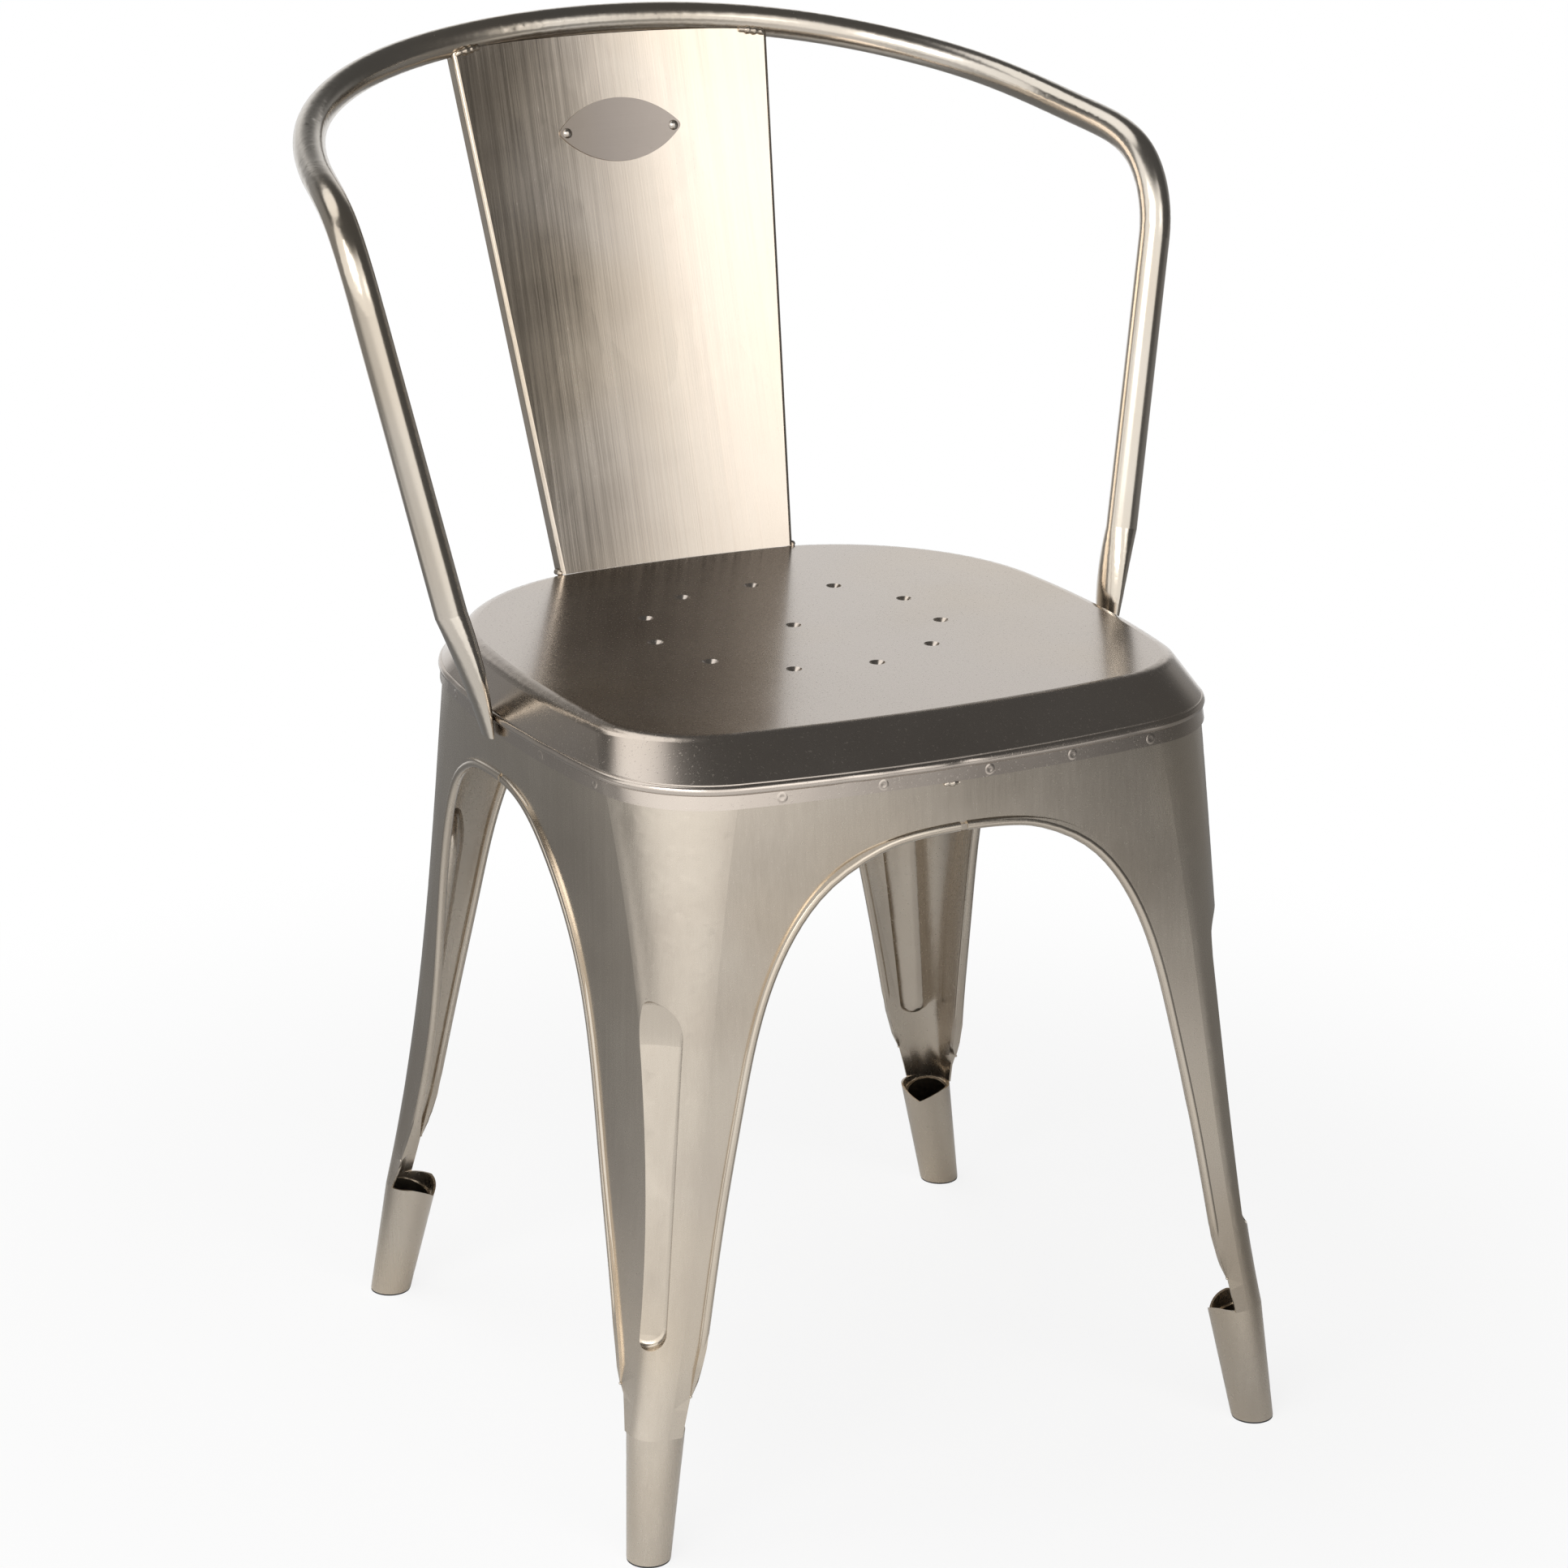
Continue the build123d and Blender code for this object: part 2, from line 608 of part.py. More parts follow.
def plate_face(z):
    """Section of the bare plate's blank, lying on the front of the splat."""
    half_w, y, bow = splat_at(z)
    w = half_w - splat_bend
    near = y - lap_gap - plate_t
    far = y - lap_gap
    with BuildSketch(Plane.XY.offset(z)) as face:
        with BuildLine():
            ThreePointArc((-w, near), (0, near + bow), (w, near))
            Line((w, near), (w, far))
            ThreePointArc((w, far), (0, far + bow), (-w, far))
            Line((-w, far), (-w, near))
        make_face()
    return face.sketch


def pin_plane(side):
    """Plane of one plate pin: on the front of the splat, its normal to the front."""
    w, y, bow = splat_at(plate_z)
    r = ((w - splat_bend) ** 2 + bow ** 2) / (2 * bow)
    x = side * pin_x
    lean = (splat_high_y - splat_low_y) / (splat_high_z - splat_low_z)
    front = (-x / r, -1, lean)
    return Plane(origin=(x, y + bow - x * x / (2 * r), plate_z), x_dir=(1, 0, 0), z_dir=front)


# Frame of the plate: its middle on the splat, its normal to the front
_, plate_y, plate_bow = splat_at(plate_z)
plate_lean = (splat_high_y + splat_high_bow - splat_low_y - splat_low_bow) / (splat_high_z - splat_low_z)
plate_mid = Plane(origin=(0, plate_y + plate_bow, plate_z), x_dir=(1, 0, 0), z_dir=(0, -1, plate_lean))
pin_planes = [pin_plane(side) for side in (1, -1)]

# Back splat: leaning trapezoid with folded side flanges, its top coped to the hoop
splat_strips = [splat_face(splat_low_z), splat_face(splat_high_z)]
with BuildPart() as splat_blank:
    loft(splat_strips, ruled=True)
    add(hoop_space, mode=Mode.SUBTRACT)
    with BuildSketch(*pin_planes):
        Circle(pin_d / 2 + pin_fit)
    extrude(amount=8, both=True, mode=Mode.SUBTRACT)
with BuildPart() as back_splat:
    add(splat_blank.solids().sort_by(SortBy.VOLUME)[-1])
back_splat.part.label = "back_splat"
export_step(back_splat.part, "parts/back_splat.step")

# Bare plate: pointed oval, curved with the splat
plate_strips = [plate_face(plate_z - plate_h), plate_face(plate_z + plate_h)]
with BuildPart() as name_plate:
    loft(plate_strips, ruled=True)
    with BuildSketch(plate_mid) as oval:
        with BuildLine():
            ThreePointArc((-plate_len / 2, 0), (0, plate_h / 2), (plate_len / 2, 0))
            ThreePointArc((plate_len / 2, 0), (0, -plate_h / 2), (-plate_len / 2, 0))
        make_face()
        fillet(oval.vertices(), plate_tip_r)
    extrude(amount=15, both=True, mode=Mode.INTERSECT)
    with BuildSketch(*pin_planes):
        Circle(pin_d / 2 + pin_fit)
    extrude(amount=8, both=True, mode=Mode.SUBTRACT)
name_plate.part.label = "name_plate"
export_step(name_plate.part, "parts/name_plate.step")

# Two pins with round heads hold the plate; their tails are spread behind the splat
head_low = lap_gap + plate_t + pin_fit
tail_high = -sheet - 2 * pin_fit
head_r = pin_head_d / 2
pin_mid = dome_middle(head_r, pin_head_h)
with BuildPart() as plate_rivets:
    for plane in pin_planes:
        with BuildSketch(Plane(origin=plane.origin, x_dir=plane.x_dir, z_dir=-plane.y_dir)):
            with BuildLine():
                Line((0, tail_high - pin_tail_h), (head_r, tail_high - pin_tail_h))
                Polyline((head_r, tail_high - pin_tail_h), (head_r, tail_high), (pin_d / 2, tail_high),
                         (pin_d / 2, head_low), (head_r, head_low))
                ThreePointArc((head_r, head_low), (pin_mid[0], head_low + pin_mid[1]), (0, head_low + pin_head_h))
                Line((0, head_low + pin_head_h), (0, tail_high - pin_tail_h))
            make_face()
        revolve(axis=Axis(plane.origin, plane.z_dir))
plate_rivets.part.label = "plate_rivets"
export_step(plate_rivets.part, "parts/plate_rivets.step")


def brace_bar(z, left):
    """Flat bar from one front corner to the opposite rear corner."""
    near = Vector(brace_front[0], -brace_front[1], z)
    far = Vector(-brace_rear[0], brace_rear[1], z)
    front_room = quarter_solid(front_frame, sheet + weld_gap, brace_over)
    rear_room = quarter_solid(rear_frame, sheet + weld_gap, brace_over)
    rear_room = rear_room.mirror(Plane.XZ).mirror(Plane.YZ)
    with BuildPart() as bar:
        with BuildSketch(Plane(origin=(near + far) / 2, x_dir=far - near, z_dir=(0, 0, 1))):
            Rectangle((far - near).length, brace_w)
        extrude(amount=brace_t)
    with BuildPart() as trimmed:
        add(bar.part & front_room)
        add(bar.part & rear_room)
        with BuildSketch(Plane.XY.offset(z)):
            with Locations(brace_cross):
                Circle(rivet_d / 2 + pin_fit)
        extrude(amount=brace_t, mode=Mode.SUBTRACT)
        if left:
            mirror(about=Plane.YZ, mode=Mode.REPLACE)
    return trimmed.part


# Cross brace: two flat bars under the seat, riveted where they cross
brace_share = brace_front[0] / (brace_front[0] + brace_rear[0])
brace_cross = (0.0, -brace_front[1] + brace_share * (brace_front[1] + brace_rear[1]))
upper_z = brace_z + brace_t + weld_gap
for label, z, left in (("brace_lower", brace_z, False), ("brace_upper", upper_z, True)):
    with BuildPart() as brace:
        add(brace_bar(z, left))
    brace.part.label = label
    export_step(brace.part, f"parts/{label}.step")

low = brace_z - pin_fit
high = upper_z + brace_t + pin_fit
dome_r = rivet_head_d / 2
rivet_mid = dome_middle(dome_r, rivet_head_h)
with BuildPart() as brace_rivet:
    with BuildSketch(Plane.XZ.offset(-brace_cross[1])):
        with BuildLine():
            ThreePointArc((0, low - rivet_head_h), (rivet_mid[0], low - rivet_mid[1]), (dome_r, low))
            Polyline((dome_r, low), (rivet_d / 2, low), (rivet_d / 2, high), (dome_r, high))
            ThreePointArc((dome_r, high), (rivet_mid[0], high + rivet_mid[1]), (0, high + rivet_head_h))
            Line((0, high + rivet_head_h), (0, low - rivet_head_h))
        make_face()
    revolve(axis=Axis((0, brace_cross[1], 0), (0, 0, 1)))
brace_rivet.part.label = "brace_rivet"
export_step(brace_rivet.part, "parts/brace_rivet.step")
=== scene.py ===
# %% [markdown]
# This lesson dresses a dining armchair of bare pressed steel.
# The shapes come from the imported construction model, which is loaded as a fixed frame.
# What is added here is what the welder and the polisher leave behind:
# rolled rims, weld beads, brushing and lacquer.

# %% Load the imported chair
import math

import bpy
from mathutils import Matrix, Vector
from mathutils.bvhtree import BVHTree


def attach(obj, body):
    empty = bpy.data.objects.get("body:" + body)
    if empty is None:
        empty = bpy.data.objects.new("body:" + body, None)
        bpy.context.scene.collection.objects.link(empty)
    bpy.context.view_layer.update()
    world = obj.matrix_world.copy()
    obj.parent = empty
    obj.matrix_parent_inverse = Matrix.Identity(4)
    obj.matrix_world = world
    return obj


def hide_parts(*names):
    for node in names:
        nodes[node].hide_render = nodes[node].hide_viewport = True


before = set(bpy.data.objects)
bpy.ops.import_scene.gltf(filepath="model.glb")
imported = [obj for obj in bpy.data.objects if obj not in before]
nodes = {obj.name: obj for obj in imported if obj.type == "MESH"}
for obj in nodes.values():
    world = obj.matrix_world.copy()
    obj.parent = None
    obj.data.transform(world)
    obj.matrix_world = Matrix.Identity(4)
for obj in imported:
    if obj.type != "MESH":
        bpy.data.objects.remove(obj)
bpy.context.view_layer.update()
scene = bpy.context.scene
print("nodes:", len(nodes))

# %% [markdown]
# The camera stands where the photo was taken from: in front of the chair, to one side and above the seat.
# It could be set by eye, but then the render would never lie over the photo.
# Its place, turn, roll and lens were worked out from points of the chair, so they are given as numbers.

# %% Camera
PHOTO_PX = 1932
LENS_PX = 5272.16
SENSOR_MM = 36.0
VIEW_TURN = math.radians(-26.7823)
VIEW_RISE = math.radians(18.5985)
VIEW_ROLL = math.radians(0.353)
VIEW_AIM = Vector((0.0, -0.009, 0.3421))
VIEW_DISTANCE = 2.4553
VIEW_END = 50.0

toward = Vector((math.sin(VIEW_TURN) * math.cos(VIEW_RISE), -math.cos(VIEW_TURN) * math.cos(VIEW_RISE),
                 math.sin(VIEW_RISE)))
level_x = Vector((0, 0, 1)).cross(toward).normalized()
level_y = toward.cross(level_x)
right = math.cos(VIEW_ROLL) * level_x + math.sin(VIEW_ROLL) * level_y
up = -math.sin(VIEW_ROLL) * level_x + math.cos(VIEW_ROLL) * level_y
stand = VIEW_AIM + VIEW_DISTANCE * toward

lens = bpy.data.cameras.new("photo_camera")
lens.sensor_fit = "HORIZONTAL"
lens.sensor_width = SENSOR_MM
lens.lens = LENS_PX / PHOTO_PX * SENSOR_MM
lens.clip_end = VIEW_END
camera = bpy.data.objects.new("photo_camera", lens)
scene.collection.objects.link(camera)
camera.matrix_world = Matrix(((right.x, up.x, toward.x, stand.x), (right.y, up.y, toward.y, stand.y),
                              (right.z, up.z, toward.z, stand.z), (0, 0, 0, 1)))
scene.camera = camera
print("camera at", [round(v, 3) for v in stand], "lens", round(lens.lens, 2), "mm")

# %% [markdown]
# Light and finish are both made of shader nodes, and most of those nodes do plain arithmetic.
# Each could be added and linked by hand, line by line.
# A few small helpers make the same trees read like sums.

# %% Small helpers for node trees
def add_node(tree, kind, place=(0, 0), **settings):
    """Add one node and set its plain properties."""
    made = tree.nodes.new(kind)
    made.location = place
    for key, value in settings.items():
        setattr(made, key, value)
    return made


def math_node(tree, operation, first, second, clamp=False):
    """A Math node fed by sockets or by plain numbers."""
    made = add_node(tree, "ShaderNodeMath", operation=operation, use_clamp=clamp)
    for index, value in enumerate((first, second)):
        if isinstance(value, (int, float)):
            made.inputs[index].default_value = value
        else:
            tree.links.new(value, made.inputs[index])
    return made.outputs[0]


def chain(tree, operation, values):
    """One operation over several sockets or numbers."""
    result = values[0]
    for value in values[1:]:
        result = math_node(tree, operation, result, value)
    return result


def times(tree, *values):
    """The product of several sockets or numbers."""
    return chain(tree, "MULTIPLY", values)


def plus(tree, *values):
    """The sum of several sockets or numbers."""
    return chain(tree, "ADD", values)


def largest(tree, *values):
    """The largest of several sockets or numbers."""
    return chain(tree, "MAXIMUM", values)


print("helpers:", ", ".join(helper.__name__ for helper in (add_node, math_node, times, plus, largest)))

# %% [markdown]
# Two more helpers are about direction. One tells how well a direction points at something,
# and the other turns such a number into a soft edge, which is how the rim of a diffused lamp looks in metal.

# %% Helpers for soft edges
def facing(tree, source, direction):
    """How much a direction socket points along a given direction, from -1 to 1."""
    made = add_node(tree, "ShaderNodeVectorMath", operation="DOT_PRODUCT")
    tree.links.new(source, made.inputs[0])
    made.inputs[1].default_value = direction
    return made.outputs["Value"]


def step_between(tree, value, low, high):
    """A soft step: 0 at low, 1 at high, in either order."""
    made = add_node(tree, "ShaderNodeMapRange", interpolation_type="SMOOTHSTEP")
    tree.links.new(value, made.inputs["Value"])
    made.inputs["From Min"].default_value = min(low, high)
    made.inputs["From Max"].default_value = max(low, high)
    made.inputs["To Min"].default_value = 0.0 if low < high else 1.0
    made.inputs["To Max"].default_value = 1.0 if low < high else 0.0
    return made.outputs["Result"]


print("helpers:", facing.__name__, step_between.__name__)

# %% [markdown]
# Shiny steel shows its surroundings more than its own colour, so the studio decides how the chair looks.
# The reflections on the real chair tell what stood around it: a tall white wall of light in front and on the
# left of the picture, a brighter strip beside it, a light high up, white paper behind,
# and darkness on the right.
# A ring of lamps could make that, but paint on the world gives soft edges and no lamp shapes in the metal.
# This cell gets the directions that the painting needs: the full one, its height, and its compass bearing.

# %% Directions in the studio room
scene.view_settings.view_transform = "Standard"
room = bpy.data.worlds.new("studio_room")
scene.world = room
room.use_nodes = True
room_tree = room.node_tree
room_tree.nodes.clear()
look = add_node(room_tree, "ShaderNodeTexCoord").outputs["Generated"]
axis = add_node(room_tree, "ShaderNodeSeparateXYZ")
room_tree.links.new(look, axis.inputs[0])
height = axis.outputs["Z"]
flat = add_node(room_tree, "ShaderNodeVectorMath", operation="MULTIPLY")
room_tree.links.new(look, flat.inputs[0])
flat.inputs[1].default_value = (1, 1, 0)
compass = add_node(room_tree, "ShaderNodeVectorMath", operation="NORMALIZE")
room_tree.links.new(flat.outputs[0], compass.inputs[0])
bearing = compass.outputs[0]
print("world:", room.name)

# %% [markdown]
# Each light is a patch of the room: an edge round its bearing, times an edge at its foot and one at its head.
# The numbers are cosines of bearings and sines of heights, because that is what the directions give.

# %% Patches of light
WALL_MID = math.radians(-139.5)
WALL_HALF = math.radians(69.5)
WALL_SOFT = 0.03
WALL_FOOT, WALL_HEAD = (-0.17, -0.05), (0.84, 0.62)
STRIP_TOWARD, STRIP_EDGE = (0.225, -0.974, 0), (0.975, 0.988)
STRIP_FOOT, STRIP_HEAD = (0.24, 0.34), (0.6, 0.45)
LID_TOWARD, LID_EDGE = (-0.34, 0.41, 0.85), (0.90, 0.95)
PAPER_TOWARD, PAPER_EDGE = (0.34, 0.94, 0), (0.82, 0.92)
PAPER_HEAD = (0.62, 0.28)
BACK_SIDE, BACK_HEAD = (-0.1, 0.5), (0.5, 0.2)
GROUND_TOWARD, GROUND_EDGE = (-0.6, -0.8, 0), (0.25, 0.85)
GROUND_HEAD = (-0.04, -0.14)


def patch(source, direction, edge, *heights):
    """A soft patch of the room round a direction, between the given heights."""
    sides = step_between(room_tree, facing(room_tree, source, direction), *edge)
    return times(room_tree, sides, *[step_between(room_tree, height, *pair) for pair in heights])


wall_toward = (math.sin(WALL_MID), math.cos(WALL_MID), 0)
wall_edge = (math.cos(WALL_HALF) - WALL_SOFT, math.cos(WALL_HALF) + WALL_SOFT)
wall = patch(bearing, wall_toward, wall_edge, WALL_FOOT, WALL_HEAD)
strip = patch(bearing, STRIP_TOWARD, STRIP_EDGE, STRIP_FOOT, STRIP_HEAD)
lid = patch(look, LID_TOWARD, LID_EDGE)
paper = patch(bearing, PAPER_TOWARD, PAPER_EDGE, PAPER_HEAD)
back = times(room_tree, step_between(room_tree, axis.outputs["Y"], *BACK_SIDE),
             step_between(room_tree, height, *BACK_HEAD))
ground = patch(bearing, GROUND_TOWARD, GROUND_EDGE)
below = step_between(room_tree, height, *GROUND_HEAD)
print("wall of light over", round(math.degrees(2 * WALL_HALF)), "degrees")

# %% [markdown]
# The patches get their levels here, and the brightest one wins where two overlap.
# The camera itself sees plain white, as behind a product photo, so the painted room shows only in the steel.

# %% Levels of light
WALL_LEVEL = 1.75
STRIP_LEVEL = 3.4
LID_LEVEL = 1.9
PAPER_LEVEL = 1.1
BACK_LEVEL = 0.3
GROUND_DIM, GROUND_MORE = 0.2, 0.85
BASE_LEVEL = 0.13
ground_level = times(room_tree, plus(room_tree, times(room_tree, ground, GROUND_MORE), GROUND_DIM), below)
level = largest(room_tree, times(room_tree, wall, WALL_LEVEL), times(room_tree, lid, LID_LEVEL),
                times(room_tree, strip, STRIP_LEVEL), times(room_tree, paper, PAPER_LEVEL), ground_level,
                times(room_tree, back, BACK_LEVEL))
room_light = add_node(room_tree, "ShaderNodeBackground")
room_tree.links.new(plus(room_tree, level, BASE_LEVEL), room_light.inputs["Strength"])
room_white = add_node(room_tree, "ShaderNodeBackground")
room_white.inputs["Color"].default_value = (1, 1, 1, 1)
room_white.inputs["Strength"].default_value = 1.0
room_ray = add_node(room_tree, "ShaderNodeLightPath")
room_mix = add_node(room_tree, "ShaderNodeMixShader")
room_out = add_node(room_tree, "ShaderNodeOutputWorld")
room_tree.links.new(room_ray.outputs["Is Camera Ray"], room_mix.inputs["Fac"])
room_tree.links.new(room_light.outputs[0], room_mix.inputs[1])
room_tree.links.new(room_white.outputs[0], room_mix.inputs[2])
room_tree.links.new(room_mix.outputs[0], room_out.inputs["Surface"])
print("levels: wall", WALL_LEVEL, "strip", STRIP_LEVEL, "lid", LID_LEVEL, "paper", PAPER_LEVEL)

# %% [markdown]
# The painted room is so wide that it throws almost no shadow.
# One soft lamp inside the white wall gives the chair its shadow on the floor, and stays out of the picture.

# %% Lamp
LAMP_WIDE, LAMP_HIGH = 1.8, 1.2
LAMP_WATTS = 26
LAMP_PLACE = (-1.8, -1.5, 1.9)
LAMP_AIM = Vector((0, 0, 0.3))
lamp_data = bpy.data.lights.new("lamp_key", "AREA")
lamp_data.shape = "RECTANGLE"
lamp_data.size = LAMP_WIDE
lamp_data.size_y = LAMP_HIGH
lamp_data.energy = LAMP_WATTS
lamp = bpy.data.objects.new("lamp_key", lamp_data)
scene.collection.objects.link(lamp)
lamp.location = LAMP_PLACE
lamp.rotation_euler = (LAMP_AIM - lamp.location).to_track_quat("-Z", "Y").to_euler()
lamp.visible_camera = False
print("lamp:", lamp.name, lamp_data.energy, "W")

# %% [markdown]
# The chair stands on white paper. A square plane would do, but its corners would show in the steel,
# so the paper is a wide round sheet.

# %% Floor sheet
FLOOR_R = 1.5
FLOOR_SIDES = 96


def turns(count):
    """The angles of so many even steps round a circle."""
    return [2 * math.pi * i / count for i in range(count)]


floor_ring = [(FLOOR_R * math.cos(turn), FLOOR_R * math.sin(turn), 0.0) for turn in turns(FLOOR_SIDES)]
floor_mesh = bpy.data.meshes.new("studio_floor")
floor_mesh.from_pydata(floor_ring, [], [tuple(range(FLOOR_SIDES))])
floor = bpy.data.objects.new("studio_floor", floor_mesh)
scene.collection.objects.link(floor)
print("floor radius", FLOOR_R, "m")

# %% [markdown]
# Lit paper alone would come out grey. Far from the chair the paper is shown pure white,
# and near the chair part of the real lit paper is kept, so that the feet stand on a faint shadow.
# The steel mirrors the paper too, which glows there with painted light: white on the side of the wall of
# light, and dimmer away from it.

# %% Where the paper is white
NEAR_WHITE = 0.83
WHITE_RING = (0.35, 0.9)
MIRROR_RING = (0.2, 0.6)
LIT_TOWARD, LIT_EDGE = (-0.6, -0.8, 0), (-0.05, 0.5)
DIM_PAPER = 0.25
floor_paint = bpy.data.materials.new("floor_paint")
floor_paint.use_nodes = True
floor_tree = floor_paint.node_tree
floor_tree.nodes.clear()
floor_place = add_node(floor_tree, "ShaderNodeTexCoord").outputs["Object"]
away_node = add_node(floor_tree, "ShaderNodeVectorMath", operation="LENGTH")
floor_tree.links.new(floor_place, away_node.inputs[0])
away = away_node.outputs["Value"]
ray = add_node(floor_tree, "ShaderNodeLightPath").outputs
mirrored = largest(floor_tree, ray["Is Glossy Ray"], ray["Is Transmission Ray"])
far = step_between(floor_tree, away, *WHITE_RING)
seen_white = plus(floor_tree, times(floor_tree, far, 1 - NEAR_WHITE), NEAR_WHITE)
share = largest(floor_tree, times(floor_tree, seen_white, ray["Is Camera Ray"]),
                times(floor_tree, step_between(floor_tree, away, *MIRROR_RING), mirrored))
# Painted light: in the steel the paper glows brighter on the side of the wall of light, and dimmer away from
# it.
lit = step_between(floor_tree, facing(floor_tree, floor_place, LIT_TOWARD), *LIT_EDGE)
glow = largest(floor_tree, ray["Is Camera Ray"],
               plus(floor_tree, times(floor_tree, lit, 1 - DIM_PAPER), DIM_PAPER))
print("paper is pure white beyond", WHITE_RING[1], "m")

# %% [markdown]
# The two papers, the lit one and the white one, are two shaders, mixed by the share worked out above.

# %% Floor paint
PAPER_COLOR = (0.9, 0.9, 0.9, 1)
matte = add_node(floor_tree, "ShaderNodeBsdfDiffuse")
matte.inputs["Color"].default_value = PAPER_COLOR
white = add_node(floor_tree, "ShaderNodeEmission")
white.inputs["Color"].default_value = (1, 1, 1, 1)
floor_tree.links.new(glow, white.inputs["Strength"])
floor_mix = add_node(floor_tree, "ShaderNodeMixShader")
floor_out = add_node(floor_tree, "ShaderNodeOutputMaterial")
floor_tree.links.new(share, floor_mix.inputs["Fac"])
floor_tree.links.new(matte.outputs[0], floor_mix.inputs[1])
floor_tree.links.new(white.outputs[0], floor_mix.inputs[2])
floor_tree.links.new(floor_mix.outputs[0], floor_out.inputs["Surface"])
floor_mesh.materials.append(floor_paint)
print("floor paint:", floor_paint.name)

# %% [markdown]
# Every steel piece was brushed with a belt and then sprayed with clear lacquer.
# Each material could hold its own noises, but they would all repeat the same work,
# so one node group makes the finish, and each material places it with its own directions and values.
# This cell makes the group's sockets. Brush is how finely the noise is cut along X, Y and Z:
# a small number along an axis draws the streaks out along it.

# %% Sockets of the brushed finish
GROUP_INPUTS = (
    ("Coords", "NodeSocketVector", (0, 0, 0)),
    ("Brush", "NodeSocketVector", (520, 520, 5)),
    ("Light", "NodeSocketColor", (0.60, 0.54, 0.47, 1)),
    ("Dark", "NodeSocketColor", (0.44, 0.38, 0.32, 1)),
    ("Warm", "NodeSocketColor", (0.52, 0.43, 0.32, 1)),
    ("Roughness", "NodeSocketFloat", 0.26),
    ("Streaks", "NodeSocketFloat", 0.10),
    ("Specks", "NodeSocketFloat", 0.10),
)
GROUP_OUTPUTS = (
    ("Color", "NodeSocketColor"),
    ("Roughness", "NodeSocketFloat"),
    ("Height", "NodeSocketFloat"),
)
BRUSHED = bpy.data.node_groups.new("brushed_lacquer", "ShaderNodeTree")
for name, kind, value in GROUP_INPUTS:
    BRUSHED.interface.new_socket(name, in_out="INPUT", socket_type=kind).default_value = value
for name, kind in GROUP_OUTPUTS:
    BRUSHED.interface.new_socket(name, in_out="OUTPUT", socket_type=kind)
given = add_node(BRUSHED, "NodeGroupInput", (-900, 0)).outputs
put_out = add_node(BRUSHED, "NodeGroupOutput", (900, 0)).inputs
print("group:", BRUSHED.name, "with", len(GROUP_INPUTS), "inputs")

# %% [markdown]
# Two noises stretched along the brushing give long and short streaks, a broad one the cloudy polish,
# another the warm tint of bare steel, and a fine one the specks caught in the lacquer.

# %% Noises of the brushed finish
LONG_SCALE, FINE_SCALE = 0.6, 2.6
LONG_SHARE, FINE_SHARE = 0.6, 0.7
CLOUD_SCALE, TINT_SCALE, SPECK_SCALE = 13.0, 6.0, 700.0
SPECK_EDGE = (0.13, 0.24)
TINT_EDGE = (-0.05, 0.25)


def noise_at(tree, source, scale, detail):
    """A noise around zero, in the given coordinates."""
    made = add_node(tree, "ShaderNodeTexNoise")
    made.inputs["Scale"].default_value = scale
    made.inputs["Detail"].default_value = detail
    tree.links.new(source, made.inputs["Vector"])
    return math_node(tree, "SUBTRACT", made.outputs["Fac"], 0.5)


stretched = add_node(BRUSHED, "ShaderNodeVectorMath", operation="MULTIPLY")
BRUSHED.links.new(given["Coords"], stretched.inputs[0])
BRUSHED.links.new(given["Brush"], stretched.inputs[1])
long_grain = noise_at(BRUSHED, stretched.outputs[0], LONG_SCALE, detail=2.0)
fine_grain = noise_at(BRUSHED, stretched.outputs[0], FINE_SCALE, detail=3.0)
grain = plus(BRUSHED, times(BRUSHED, long_grain, LONG_SHARE), times(BRUSHED, fine_grain, FINE_SHARE))
cloud = noise_at(BRUSHED, given["Coords"], CLOUD_SCALE, detail=3.0)
tint = step_between(BRUSHED, noise_at(BRUSHED, given["Coords"], TINT_SCALE, detail=2.0), *TINT_EDGE)
dust = step_between(BRUSHED, noise_at(BRUSHED, given["Coords"], SPECK_SCALE, detail=1.0), *SPECK_EDGE)
print("noises:", sum(1 for node in BRUSHED.nodes if node.type == "TEX_NOISE"))

# %% [markdown]
# The same noises then make three things: the colour, how rough the lacquered surface is, and its fine relief.
# Where a streak is lighter it is also rougher and higher, so all three agree, as they do on brushed metal.

# %% Colour, roughness and relief of the brushed finish
GRAIN_TONE, CLOUD_TONE, MIDDLE_TONE = 6.0, 1.1, 0.5
TINT_SHARE = 0.6
GRAIN_ROUGH, CLOUD_ROUGH = 1.5, 0.14
MIX_A, MIX_B, MIX_RESULT = 6, 7, 2


def mix_colors(tree, fac, first, second):
    """One colour blended into another by a socket."""
    made = add_node(tree, "ShaderNodeMix", data_type="RGBA")
    tree.links.new(fac, made.inputs[0])
    tree.links.new(first, made.inputs[MIX_A])
    tree.links.new(second, made.inputs[MIX_B])
    return made.outputs[MIX_RESULT]


streaks = times(BRUSHED, grain, given["Streaks"])
specks = times(BRUSHED, dust, given["Specks"])
tone = plus(BRUSHED, times(BRUSHED, streaks, GRAIN_TONE), times(BRUSHED, cloud, CLOUD_TONE))
tone = math_node(BRUSHED, "ADD", tone, MIDDLE_TONE, clamp=True)
shade = mix_colors(BRUSHED, tone, given["Dark"], given["Light"])
warmed = mix_colors(BRUSHED, times(BRUSHED, tint, TINT_SHARE), shade, given["Warm"])
rough = plus(BRUSHED, given["Roughness"], times(BRUSHED, streaks, GRAIN_ROUGH), specks)
rough = math_node(BRUSHED, "ADD", rough, times(BRUSHED, cloud, CLOUD_ROUGH), clamp=True)
BRUSHED.links.new(warmed, put_out["Color"])
BRUSHED.links.new(rough, put_out["Roughness"])
BRUSHED.links.new(plus(BRUSHED, streaks, specks), put_out["Height"])
print("group nodes:", len(BRUSHED.nodes))

